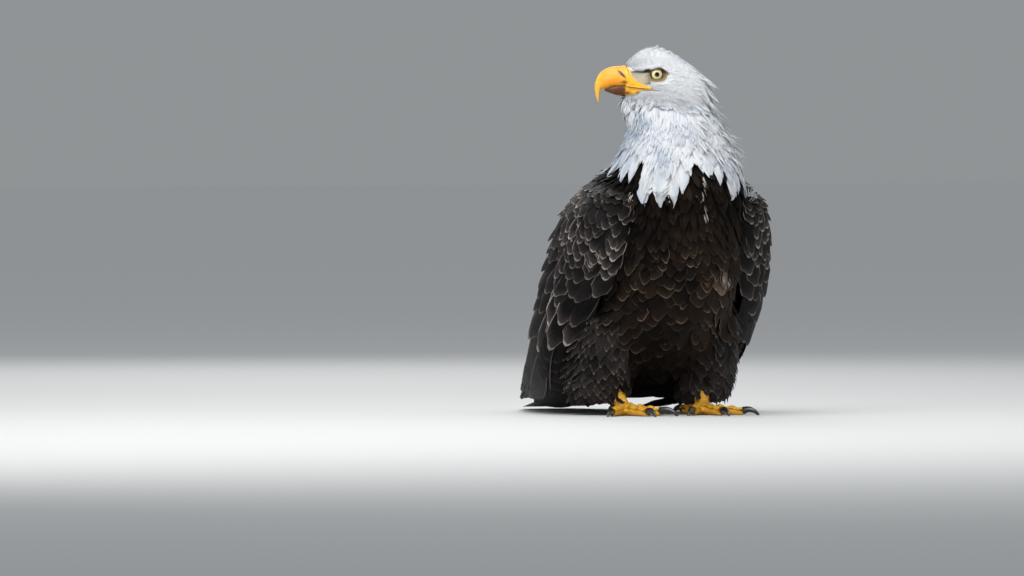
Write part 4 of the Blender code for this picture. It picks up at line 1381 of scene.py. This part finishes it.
across = random.normal(DOWN_ACROSS, DOWN_SPREAD, DOWN_COUNT)
height = random.normal(DOWN_HEIGHT, DOWN_SPREAD, DOWN_COUNT)
start = met_on(wing_tree, across, height)
heading = unit(VIEW_ACROSS * random.normal(0.30, 0.45, DOWN_COUNT)[:, None] + VIEW_BACK * 0.55
               + np.outer(random.uniform(0.2, 1.2, DOWN_COUNT), (0, 0, 1)))
reach = np.linspace(-0.2, 1.0, 3)[:, None] * DOWN_LENGTH
guide = start[:, None] + heading[:, None] * reach * random.uniform(0.5, 1.1, DOWN_COUNT)[:, None, None]
ups = unit(VIEW_BACK - heading * (heading @ VIEW_BACK)[:, None])[:, None] * np.ones((1, 3, 1))
places = lay(stray_vane, guide, ups, random.uniform(0.0010, 0.0018, DOWN_COUNT), STRAND_THICK, curl=0.3)
coat("shoulder_down", [(stray_vane, places, hide_map(start), random.uniform(0.6, 1.0, DOWN_COUNT),
                        np.ones(DOWN_COUNT))], white_finish)


# ---- Thigh feathers ---------------------------------------------------------------------
# The eagle's trousers: loose, broad brown feathers that hang round the leg to the tarsus, with
# frayed ends and worn pale edges.

THIGH_GAP = 0.0088
THIGH_LENGTH = 0.026
UPPER_THIGH_LONGER = 0.010
THIGH_BREADTH = 0.0175
REAR_LIFT = 0.009
thigh_vane = Vane(4, 5, [(0, 0.40), (0.35, 0.95), (0.7, 0.98), (0.9, 0.76), (1, 0.42)], 0.15,
                  notches=((-0.5, 0.015), (0.5, 0.02)))


def thigh_flow(at, normal):
    """Down the leg, and more and more back on its rear side."""
    down = np.zeros((len(at), 3))
    down[:, 2] = -1.0
    down[:, 1] = 0.15 + 0.25 * ease(-0.02, 0.05, normal[:, 1])
    return unit(down)


def on_thigh(points, part):
    return (part == "thigh_left") | (part == "thigh_right")


roots, root_face = scattered(on_thigh, lambda at: THIGH_GAP)
size = THIGH_LENGTH + UPPER_THIGH_LONGER * ease(0.03, 0.10, roots[:, 2])
size = size * random.uniform(0.85, 1.15, len(roots))
size = np.minimum(size, np.maximum(roots[:, 2] - 0.012, 0.010))
lift = random.gamma(1.2, 0.0014, len(roots)).clip(0, 0.006)
outward = np.array([form_tree.find_nearest(Vector(at))[1] for at in roots])
lift += REAR_LIFT * ease(0.70, 0.95, outward[:, 0] * np.sign(roots[:, 0]) * 0.906 + outward[:, 1] * 0.423)
guide, ups = along_skin(roots, size, thigh_flow, sunk([0.9, 0.30, -0.20], face_depth[root_face]), lift)
width = THIGH_BREADTH * random.uniform(0.8, 1.15, len(roots))
places = lay(thigh_vane, guide, ups, width, BODY_THICK, curl=0.5, twist=random.normal(0, 0.15, len(roots)))
tone = (0.45 + 0.2 * patchy(roots, 0.02) + random.normal(0, 0.2, len(roots))).clip(0, 1)
pale = random.random(len(roots)) ** 1.3 * 1.1
thigh_finish = feather_finish("thigh_feathers", (0.0024, 0.0018, 0.0018), (0.026, 0.020, 0.019),
                              (0.20, 0.165, 0.14), barbs=120.0, shaft=(0.006, 0.005, 0.004),
                              rough=0.5, spec=0.12)
coat("thigh_feathers", [(thigh_vane, places, face_uv[root_face], tone, pale)], thigh_finish)


# ---- Wing coverts -----------------------------------------------------------------------
# The folded wing's small feathers: rows of rounded brown coverts with worn pale edges that
# grow longer from the shoulder down, laid like tiles over the roots of the flight feathers.

OUTER_LINE = [
    # along, out, back, up
    (0, 0.096, -0.050, 0.348), (0.10, 0.129, -0.052, 0.322), (0.22, 0.152, -0.042, 0.284),
    (0.38, 0.165, -0.020, 0.210), (0.52, 0.167, 0.012, 0.144), (0.65, 0.160, 0.060, 0.082),
    (0.78, 0.138, 0.130, 0.040), (0.90, 0.102, 0.232, 0.020), (1, 0.054, 0.345, 0.015)]
BACK_EDGE = [
    # along, out, back, up
    (0, 0.042, 0.014, 0.364), (0.10, 0.044, 0.046, 0.338), (0.22, 0.040, 0.086, 0.300),
    (0.38, 0.028, 0.130, 0.240), (0.52, 0.018, 0.168, 0.184), (0.65, 0.008, 0.210, 0.130),
    (0.78, 0.004, 0.256, 0.084), (0.90, 0.010, 0.306, 0.048), (1, 0.040, 0.360, 0.020)]
FRONT_WRAP = [
    # along, degrees round the front, depth of the front
    (0, -35, 0.050), (0.12, -58, 0.064), (0.25, -60, 0.066), (0.38, -55, 0.058), (0.52, -40, 0.038),
    (0.66, -32, 0.028), (0.74, -48, 0.034), (0.82, -50, 0.042), (0.91, -42, 0.035), (1, 0, 0.010)]
WING_THICKNESS = [
    # along, from the outer to the inner face
    (0, 0.018), (0.12, 0.030), (0.35, 0.026), (0.60, 0.012), (0.80, 0.007), (1, 0.003)]
WING_WRAP = 2.3
TAIL_END = 0.384
set_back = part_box("tail")[1].y - TAIL_END


def wing_at(way, along, across):
    """Places on the folded wing's outer face: from shoulder to tip, and from front to back edge."""
    along = np.clip(along, 0, 1)
    outer, back, wrap = (through(table, along) for table in (OUTER_LINE, BACK_EDGE, FRONT_WRAP))
    angle = wrap[:, 0] + (90 - wrap[:, 0]) * np.clip(across, 0, 1)
    bend = np.radians(angle)
    out = np.maximum(np.cos(bend), 0) ** (2 / WING_WRAP)
    behind = abs(np.sin(bend)) ** (2 / WING_WRAP)
    depth = np.where(angle > 0, back[:, 1] - outer[:, 1], -wrap[:, 1])
    return np.column_stack([way * (back[:, 0] + (outer[:, 0] - back[:, 0]) * out),
                            outer[:, 1] + depth * behind + set_back,
                            outer[:, 2] + (back[:, 2] - outer[:, 2]) * angle / 90])


def wing_up(way, along, across):
    """The outward direction on the wing's face."""
    small = 0.015
    down = wing_at(way, along + small, across) - wing_at(way, along - small, across)
    back = wing_at(way, along, across + small) - wing_at(way, along, across - small)
    return unit(np.cross(down, back) * way)


def on_wing(way, along, across, length, drift, sink, lift, under=False):
    """Guides down the wing's face, or down its inner face, from each root."""
    steps = len(sink)
    nearby = wing_at(way, along + 0.02, across) - wing_at(way, along - 0.02, across)
    speed = np.linalg.norm(nearby, axis=1) / 0.04
    guide = np.empty((len(along), steps, 3))
    ups = np.empty((len(along), steps, 3))
    for k in range(steps):
        part = k / (steps - 1)
        a, c = along + length / speed * part, across + drift * part
        ups[:, k] = wing_up(way, a, c)
        deep = through(WING_THICKNESS, np.clip(a, 0, 1))[:, 0] if under else 0.0
        guide[:, k] = wing_at(way, a, c) - ups[:, k] * np.reshape(deep, (-1, 1))
        if under:
            ups[:, k] *= -1
        guide[:, k] += ups[:, k] * (lift * part ** 2 - sink[k])[:, None]
    return guide, ups


covert_vane = Vane(4, 6, [(0, 0.45), (0.35, 0.92), (0.7, 1.0), (0.9, 0.84), (1, 0.52)], 0.15)
covert_finish = feather_finish("wing_feathers", (0.0016, 0.0012, 0.0015), (0.0115, 0.0088, 0.0092),
                               (0.44, 0.37, 0.33), barbs=120.0, shaft=(0.006, 0.005, 0.005),
                               rough=0.50, spec=0.10)
COVERT_ROWS = [
    # along the wing, length, breadth, how many across
    *[(0.005 + 0.026 * k, 0.034 + 0.0012 * k, 0.0195 + 0.0008 * k, 15) for k in range(11)],
    (0.300, 0.052, 0.0290, 14), (0.335, 0.062, 0.0300, 13), (0.375, 0.074, 0.0310, 12),
    (0.425, 0.100, 0.0330, 11)]
LOWER_ROWS_FROM = 12
UNDER_ROWS = [(0.06 + 0.05 * k, 0.045 + 0.002 * k, 0.024, 8) for k in range(12)]
EDGE_ROWS = [(0.50 + 0.035 * k, 0.085, 0.032, 4) for k in range(9)]
COVERT_SINK = 0.0062
COVERT_THICK = 0.0007
COVERT_SHADE = {-1: 0.0, 1: 0.55}  # how much painted shade darkens each wing's lower coverts, right and left

batches = []
for way in SIDES.values():
    for row, (along, length, breadth, count) in enumerate(COVERT_ROWS):
        across = (np.arange(count) + 0.5 * (row % 2)) / (count - 0.5)
        across = (across + random.normal(0, 0.10 / count, count)).clip(0.0, 0.995)
        bowed = 0.030 * np.sin(across * math.pi) * (row >= LOWER_ROWS_FROM)
        start = along + random.normal(0, 0.007, count) + bowed
        size = length * random.uniform(0.85, 1.15, count)
        lift = random.gamma(1.2, 0.0011, count).clip(0, 0.005)
        sink = sunk([1.0, 0.66, 0.33, 0.0], np.full(count, COVERT_SINK))
        guide, ups = on_wing(way, start, across, size, random.normal(0, 0.016, count), sink, lift)
        turn = -0.20 * way * ease(0.0, 0.2, across) + random.normal(0, 0.0025 / breadth, count)
        places = lay(covert_vane, guide, ups, breadth * random.uniform(0.92, 1.1, count), COVERT_THICK,
                     curl=0.4, twist=turn)
        pale = (0.35 + 0.65 * random.random(count)) * (0.75 + 0.45 * patchy(guide[:, 0], 0.02)).clip(0.15, 1)
        tone = (0.45 + 0.2 * patchy(guide[:, 0], 0.03) + random.normal(0, 0.18, count)).clip(0, 1)
        # Painted shade: the left wing's lower coverts are darkened and lose their pale edges.
        fresh = COVERT_SHADE[way] * ease(0.16, 0.40, start)
        pale, tone = pale * (1 - fresh), tone * (1 - fresh)
        batches.append((covert_vane, places, hide_map(guide[:, 0]), tone, pale))
    for along, length, breadth, count in EDGE_ROWS:
        across = 0.01 + 0.16 * np.arange(count) / count
        sink = sunk([1.0, 0.66, 0.33, 0.2], np.full(count, COVERT_SINK))
        guide, ups = on_wing(way, np.full(count, along), across, np.full(count, length), 0.0, sink,
                             np.zeros(count))
        places = lay(covert_vane, guide, ups, breadth, COVERT_THICK, curl=0.5)
        # These edge coverts are kept nearly black with almost no pale edge: painted shade of the recess
        # between wing and body.
        tone = random.uniform(0.0, 0.15, count)
        batches.append((covert_vane, places, hide_map(guide[:, 0]), tone, np.full(count, 0.05)))
    for along, length, breadth, count in UNDER_ROWS:
        across = (np.arange(count) + random.random(count) * 0.5) / count * 0.9
        sink = sunk([0.004, 0.001, 0.0], np.ones(count))
        guide, ups = on_wing(way, np.full(count, along), across, np.full(count, length), 0.0, sink,
                             np.zeros(count), under=True)
        places = lay(covert_vane, guide, ups, breadth * 1.3, COVERT_THICK, curl=0.3)
        batches.append((covert_vane, places, hide_map(guide[:, 0]), np.full(count, 0.25), np.zeros(count)))
coat("wing_coverts", batches, covert_finish)


# ---- Flight feathers --------------------------------------------------------------------
# Long stiff secondaries and primaries, nearly black, stacked as the wing folds: the innermost
# lies on top and the primaries run out below to the wing's tip.

SECONDARIES = 13
SECONDARY_ROOT = 0.43
SECONDARY_LENGTH = 0.235
SECONDARY_BREADTH = 0.038
SECONDARY_THICK = 0.0010
PRIMARIES = 9
WING_RUN = 0.56  # metres down the wing's face from shoulder to tip
PRIMARY_BREADTH = 0.030
PRIMARY_THICK = 0.0011
STACK = 0.0010
flight_vane = Vane(6, 18, [(0, 0.30), (0.15, 0.75), (0.5, 1.0), (0.85, 0.92), (1, 0.50)], 0.075)
flight_finish = feather_finish("flight_feathers", (0.0014, 0.0012, 0.0016), (0.0075, 0.0062, 0.0068),
                               (0.16, 0.125, 0.105), barbs=260.0, shaft=(0.018, 0.014, 0.013),
                               rough=0.50, spec=0.12)

for side, way in SIDES.items():
    order = np.arange(SECONDARIES) / (SECONDARIES - 1)
    root_across = 0.97 - 0.74 * order
    tip_across = 0.93 - 0.66 * order
    root_along = np.full(SECONDARIES, SECONDARY_ROOT)
    length = SECONDARY_LENGTH + 0.020 * order
    sink = sunk(np.linspace(1, 0.25, 6), 0.0035 + STACK * np.arange(SECONDARIES) * 0.5)
    guide, ups = on_wing(way, root_along, root_across, length, tip_across - root_across, sink,
                         np.zeros(SECONDARIES))
    places = lay(flight_vane, guide, ups, SECONDARY_BREADTH, SECONDARY_THICK, curl=0.25)
    secondaries = coat(f"wing_{side}_secondary_vanes",
                       [(flight_vane, places, hide_map(guide[:, 0]), random.uniform(0.2, 0.6, SECONDARIES),
                         random.uniform(0.25, 0.8, SECONDARIES))], flight_finish)
    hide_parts(f"wing_{side}_secondaries")

    order = np.arange(PRIMARIES) / (PRIMARIES - 1)
    root_across = 0.42 - 0.38 * order
    tip_across = 0.88 - 0.84 * order
    root_along = 0.44 + 0.02 * order
    tip_along = 0.995 - 0.10 * order ** 1.5
    length = (tip_along - root_along) * WING_RUN
    sink = sunk(np.linspace(1, 0.3, 9), 0.0080 + STACK * np.arange(PRIMARIES) * 0.7)
    guide, ups = on_wing(way, root_along, root_across, length, tip_across - root_across, sink,
                         np.zeros(PRIMARIES))
    places = lay(flight_vane, guide, ups, PRIMARY_BREADTH - 0.006 * order, PRIMARY_THICK, curl=0.25)
    primaries = coat(f"wing_{side}_primary_vanes",
                     [(flight_vane, places, hide_map(guide[:, 0]), random.uniform(0.1, 0.4, PRIMARIES),
                       random.uniform(0.0, 0.3, PRIMARIES))], flight_finish)
    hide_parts(f"wing_{side}_primaries")


# ---- Tail -------------------------------------------------------------------------------
# Twelve white tail feathers closed one under the other, with white coverts over and under
# their roots.

TAIL = [
    # back, top, bottom, half width
    (0.090, 0.142, 0.070, 0.036), (0.130, 0.120, 0.046, 0.043), (0.180, 0.092, 0.030, 0.046),
    (0.240, 0.060, 0.016, 0.049), (0.300, 0.032, 0.005, 0.053), (0.345, 0.015, 0.000, 0.056),
    (0.370, 0.010, 0.000, 0.053), (0.384, 0.007, 0.000, 0.036)]
RECTRICES = 12
RECTRIX_ROOT = 0.150
RECTRIX_BREADTH = 0.040
RECTRIX_THICK = 0.0010
RECTRIX_STATIONS = 8
TAIL_COVERT_GAP = 0.0115
TAIL_COVERT_LENGTH = 0.050
REAR_COVERT_LONGER = 0.035
TAIL_COVERT_BREADTH = 0.022
rectrix_vane = Vane(6, 16, [(0, 0.30), (0.2, 0.70), (0.6, 1.0), (0.9, 0.95), (1, 0.60)], 0.07)
pair = np.repeat(np.arange(RECTRICES // 2), 2)
way = np.tile((1, -1), RECTRICES // 2)
guide = np.empty((RECTRICES, RECTRIX_STATIONS, 3))
ups = np.tile((0.0, 0.35, 1.0), (RECTRICES, RECTRIX_STATIONS, 1))
for k, part in enumerate(np.linspace(0, 1, RECTRIX_STATIONS)):
    end = TAIL_END - 0.002 - 0.0022 * pair
    y = RECTRIX_ROOT + (end - RECTRIX_ROOT) * part
    top, bottom, half = through(TAIL, y).T
    level = top - (top - bottom) * (0.42 * (1 - part) ** 1.2 + 0.08 + 0.12 * pair * part)
    guide[:, k] = np.column_stack([way * half * (0.08 + 0.125 * pair) * (0.35 + 0.65 * part), y + set_back,
                                   np.maximum(level, 0.0020 + 0.0004 * (5 - pair))])
places = lay(rectrix_vane, guide, ups, RECTRIX_BREADTH, RECTRIX_THICK, curl=0.22)
tail_finish = feather_finish("tail_white", (0.26, 0.29, 0.34), (0.56, 0.57, 0.585), (0.62, 0.62, 0.63),
                             barbs=260.0, shaft=(0.45, 0.43, 0.38), rough=0.6, spec=0.10, relief=0.3,
                             streaky=0.3)
coat("tail_vanes", [(rectrix_vane, places, hide_map(guide[:, 0]), random.uniform(0.5, 0.75, RECTRICES),
                     np.ones(RECTRICES))], tail_finish)


def tail_flow(at, normal):
    """Straight back along the tail, and down with it."""
    return np.tile(unit(np.array((0.0, 1.0, -0.42))), (len(at), 1))


def on_rump(points, part):
    return (part == "tail") & (points[:, 1] < 0.085)


roots, root_face = scattered(on_rump, lambda at: TAIL_COVERT_GAP)
size = TAIL_COVERT_LENGTH + REAR_COVERT_LONGER * ease(-0.02, 0.08, roots[:, 1])
size = size * random.uniform(0.88, 1.1, len(roots))
lift = random.normal(0.0005, 0.0006, len(roots)).clip(-0.0005, 0.002)
guide, ups = along_skin(roots, size, tail_flow, sunk([0.9, 0.5, 0.2, 0.0], face_depth[root_face]), lift)
width = TAIL_COVERT_BREADTH * random.uniform(0.85, 1.15, len(roots))
places = lay(breast_vane, guide, ups, width, BODY_THICK, curl=0.4)
tone = random.normal(0.6, 0.15, len(roots)).clip(0, 1)
coat("tail_coverts", [(breast_vane, places, face_uv[root_face], tone, np.ones(len(roots)))], white_finish)


# ---- Foot scales ------------------------------------------------------------------------
# The horny yellow plates of the feet: a row of broad scutes over each toe and down the front
# of the shank, and small round scales between them, each grown from the hide.

FOOT_SPREAD = 0.062
FOOT_FORWARD = -0.018
TOE_PLAN = {
    # degrees from straight ahead, length, half thickness, how many scutes
    "middle": (2, 0.067, 0.0086, 15), "inner": (38, 0.0496, 0.0088, 11), "outer": (-40, 0.0576, 0.0080, 13),
    "hind": (172, 0.0375, 0.0088, 8)}
TOE_START = 0.011
TOE_TAPER = 0.30
KNUCKLE = 0.10
SCUTE_ARC = 1.15
SCUTE_PROUD = 0.0003
SCUTE_TILT = np.array([-0.0005, 0.0001, 0.0003])
SCUTE_THICK = 0.0006
SHANK_TOP = (0.074, -0.006, 0.058)
SHANK_FOOT = (0.062, -0.018, 0.009)
SHANK_HALF = 0.0115
SHANK_WAIST = 0.0035
SHANK_SCUTES = 9
SCALE_GAP = 0.0019
SCALE_LENGTHS = (0.0022, 0.0030)
SCALE_BREADTH = 0.0023
SCALE_HEIGHTS = (0.0035, 0.050)
FOOT_SHADE = (0.42, 0.19, 0.02)
SCUTE_LIGHT = (0.86, 0.52, 0.07)

scute_vane = Vane(6, 2, [(0, 0.96), (0.6, 1.0), (1, 0.88)], 0.10)
scale_vane = Vane(2, 2, [(0, 0.7), (0.5, 1.0), (1, 0.55)], 0.25)

scute_finish = Finish("foot_scutes")
from_middle, along = vane_map(scute_finish)
grime = scute_finish.noise(420, 4)
seam = along.ramp(0.72, 1.0).or_more(from_middle.ramp(0.70, 1.0))
scute_colour = scute_finish.mix(scute_finish.attribute("tone") * 0.35, FOOT_YELLOW, SCUTE_LIGHT)
scute_colour = scute_finish.mix((seam * 0.75 + grime.ramp(0.5, 0.8) * 0.35) * 0.8, scute_colour, FOOT_SHADE)
scute_finish.set(Base_Color=scute_colour, Roughness=grime * 0.25 + 0.34, Specular_IOR_Level=0.35,
                 Normal=scute_finish.bump(grime, 0.0003, 0.5))


def toe_half(t, thick):
    """Half thickness of a toe along it, with its knuckles."""
    return thick * (1 - TOE_TAPER * t) * (1 + KNUCKLE * np.cos(6 * math.pi * t))


def toe_heading(way, turn):
    """The direction that a toe points in, turned from straight ahead."""
    return np.array((-way * math.sin(math.radians(turn)), -math.cos(math.radians(turn)), 0))


def scute_row(first, last, count, overlap):
    """Where each scute in a row has its hidden edge, its middle and its free edge."""
    edge = np.linspace(first, last, count + 1)
    return np.stack([edge[:-1] - overlap, (edge[:-1] + edge[1:]) / 2, edge[1:]], axis=1)


def scutes_on(guide, ups, half):
    """A batch of scutes that wrap a toe or shank of the given half thickness."""
    count = len(guide)
    places = lay(scute_vane, guide, ups, 2 * SCUTE_ARC * half, SCUTE_THICK, curl=SCUTE_ARC)
    return scute_vane, places, hide_map(guide[:, 1]), random.uniform(0, 1, count), np.zeros(count)


batches = []
for way in SIDES.values():
    for turn, length, thick, count in TOE_PLAN.values():
        heading = toe_heading(way, turn)
        start = np.array((way * FOOT_SPREAD, FOOT_FORWARD + set_back, 0)) + heading * TOE_START
        t = scute_row(-0.06, 0.97, count, 0.012)
        half = toe_half(np.clip(t, 0, 1), thick)
        guide = start + heading * (length * t)[..., None]
        guide[..., 2] = 2 * half - 0.0008 + SCUTE_PROUD + SCUTE_TILT
        ups = np.tile((0.0, 0.0, 1.0), (*t.shape, 1))
        batches.append(scutes_on(guide, ups, half[:, 1] + SCUTE_PROUD))
    top = np.array(SHANK_TOP) * (way, 1, 1) + (0, set_back, 0)
    bottom = np.array(SHANK_FOOT) * (way, 1, 1) + (0, set_back, 0)
    t = scute_row(0.02, 1.0, SHANK_SCUTES, 0.02)
    half = SHANK_HALF - SHANK_WAIST * np.sin(math.pi * np.clip(t, 0, 1))
    guide = top + (bottom - top) * t[..., None]
    ups = np.tile((0.0, -1.0, 0.0), (*t.shape, 1))
    guide += ups * (half * 1.1 + SCUTE_PROUD + SCUTE_TILT)[..., None]
    batches.append(scutes_on(guide, ups, half[:, 1]))


def on_foot(points, part):
    bare_leg = np.array([name.startswith(("toe", "tarsus")) for name in part])
    low, high = SCALE_HEIGHTS
    return bare_leg & (points[:, 2] > low) & (points[:, 2] < high)


def foot_flow(at, normal):
    """Down the shank and out along the toes."""
    sides = np.column_stack([np.sign(at[:, 0]), np.ones((len(at), 2))])
    ankle = np.array((FOOT_SPREAD, FOOT_FORWARD + set_back, 0)) * sides
    out = unit((at - ankle) * (1, 1, 0)) * ease(0.022, 0.012, at[:, 2])[:, None]
    return unit(out + np.array((0, 0, -0.3)))


roots, root_face = scattered(on_foot, lambda at: SCALE_GAP, 9)
size = random.uniform(*SCALE_LENGTHS, len(roots))
guide, ups = along_skin(roots, size, foot_flow, sunk([0.0003, 0.0, 0.0], np.ones(len(roots))),
                        np.full(len(roots), 0.0002))
kept = guide[..., 2].min(axis=1) > 0.0015
places = lay(scale_vane, guide[kept], ups[kept], SCALE_BREADTH, SCUTE_THICK, curl=0.3)
tone = random.uniform(0, 1, kept.sum())
batches.append((scale_vane, places, face_uv[root_face[kept]], tone, np.zeros(kept.sum())))
coat("foot_scales", batches, scute_finish)


# ---- Claws ------------------------------------------------------------------------------
# Eight black hooks of horn, narrower above than below, that grow from the toes' ends and
# curve down to the floor.

CLAW_ARC = 0.034
CLAW_BEND = math.radians(100)
CLAW_RISE = math.radians(28)
CLAW_HALF = 0.0050
CLAW_TIP = 0.0004
CLAW_NARROWING = 0.18
CLAW_SIZES = {"hind": 1.12, "inner": 1.12, "middle": 0.95, "outer": 0.95}
CLAW_ROWS = 28
CLAW_ROUND = 20
CLAW_BLACK = (0.012, 0.010, 0.010)
CLAW_WORN = (0.060, 0.050, 0.045)

claw_finish = Finish("claw_horn")
growth = claw_finish.noise(600, 4)
claw_finish.set(Base_Color=claw_finish.mix(growth.ramp(0.55, 0.75) * 0.5, CLAW_BLACK, CLAW_WORN),
                Roughness=growth * 0.25 + 0.16, Coat_Weight=0.3, Coat_Roughness=0.12,
                Normal=claw_finish.bump(growth, 0.0002, 0.4))

for side, way in SIDES.items():
    for toe, (turn, length, thick, _) in TOE_PLAN.items():
        heading = Vector(toe_heading(way, turn))
        ankle = Vector((way * FOOT_SPREAD, FOOT_FORWARD + set_back, thick * 0.75))
        start = ankle + heading * (TOE_START + length - 0.002)
        radius = CLAW_ARC * CLAW_SIZES[toe] / CLAW_BEND
        claw = bmesh.new()
        rings = []
        for t in np.linspace(0, 1, CLAW_ROWS):
            bend = CLAW_RISE - CLAW_BEND * t
            centre = start + heading * (radius * (math.sin(CLAW_RISE) - math.sin(bend)))
            centre.z += radius * (math.cos(bend) - math.cos(CLAW_RISE))
            half = CLAW_HALF * (1 - t) ** 0.75 + CLAW_TIP
            aside = heading.cross(Vector((0, 0, 1)))
            up = Vector((0, 0, 1)) * math.cos(bend) - heading * math.sin(bend)
            rings.append(add_ring(claw, [centre + aside * (half * 0.85 * x) + up * (half * y)
                                         for x, y in zip(*oval(CLAW_ROUND, CLAW_NARROWING))]))
        bridge_rings(claw, rings)
        for vert in claw.verts:
            vert.co.z = max(vert.co.z, 0.0)
        piece = link_bm(f"claw_{side}_{toe}_horn", claw)
        dress(piece, claw_finish, HORN_CREASE)
        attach(piece, "root")
        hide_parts(f"claw_{side}_{toe}")


# ---- Studio -----------------------------------------------------------------------------
# A pale floor in a room with grey walls and a paler ceiling, under four soft round lamps, and
# the camera with a long lens.

floor = bmesh.new()
bmesh.ops.create_grid(floor, x_segments=1, y_segments=1, size=30)
floor_piece = link_bm("floor", floor)
floor_finish = Finish("floor_paint")
floor_finish.set(Base_Color=(0.52, 0.52, 0.51), Roughness=0.9)
floor_piece.data.materials.append(floor_finish.material)

LENS = 485
CAMERA_AZIMUTH = math.radians(-25)
CAMERA_RISE = math.radians(1.0)
CAMERA_RANGE = 20.0
AIM_ACROSS = -0.163
AIM_UP = 0.181

camera_data = bpy.data.cameras.new("camera")
camera_data.lens = LENS
camera_data.sensor_width = 36
camera = link("camera", camera_data)
aim = Vector((math.cos(CAMERA_AZIMUTH), math.sin(CAMERA_AZIMUTH), 0)) * AIM_ACROSS + Vector((0, 0, AIM_UP))
back = Vector((math.sin(CAMERA_AZIMUTH) * math.cos(CAMERA_RISE),
               -math.cos(CAMERA_AZIMUTH) * math.cos(CAMERA_RISE), math.sin(CAMERA_RISE)))
camera.location = aim + back * CAMERA_RANGE
camera.rotation_euler = back.to_track_quat("Z", "Y").to_euler()
bpy.context.scene.camera = camera
bpy.context.scene.view_settings.view_transform = "Standard"

WALL_GREY = (0.51, 0.535, 0.55)
CEILING_GREY = (0.90, 0.95, 1.0)
LAMP_AIM = 0.25
LAMPS = [
    # name, place, breadth, power
    ("sky", (-0.8, -0.9, 2.6), 2.4, 80), ("window", (-2.6, -1.8, 1.8), 1.6, 30),
    ("fill", (2.2, -2.6, 0.8), 2.2, 13), ("rim", (0.6, 2.6, 2.0), 2.0, 30)]
for name, place, size, power in LAMPS:
    lamp = bpy.data.lights.new(name, "AREA")
    lamp.shape = "DISK"
    lamp.size = size
    lamp.energy = power
    lamp_piece = link(name, lamp)
    lamp_piece.location = place
    lamp_piece.rotation_euler = (Vector(place) - Vector((0, 0, LAMP_AIM))).to_track_quat("Z", "Y").to_euler()

world = bpy.data.worlds.new("room")
bpy.context.scene.world = world
world.use_nodes = True
room = world.node_tree
direction = room.nodes.new("ShaderNodeTexCoord").outputs["Generated"]
rise = room.nodes.new("ShaderNodeSeparateXYZ")
fade = room.nodes.new("ShaderNodeMapRange")
fade.inputs["From Max"].default_value = 0.35
tint = room.nodes.new("ShaderNodeMix")
tint.data_type = "RGBA"
tint.inputs[6].default_value = (*WALL_GREY, 1)
tint.inputs[7].default_value = (*CEILING_GREY, 1)
walls = room.nodes["Background"]
walls.inputs["Strength"].default_value = 0.55
for output, target in ((direction, rise.inputs[0]), (rise.outputs["Z"], fade.inputs["Value"]),
                       (fade.outputs[0], tint.inputs["Factor"]), (tint.outputs[2], walls.inputs["Color"])):
    room.links.new(output, target)
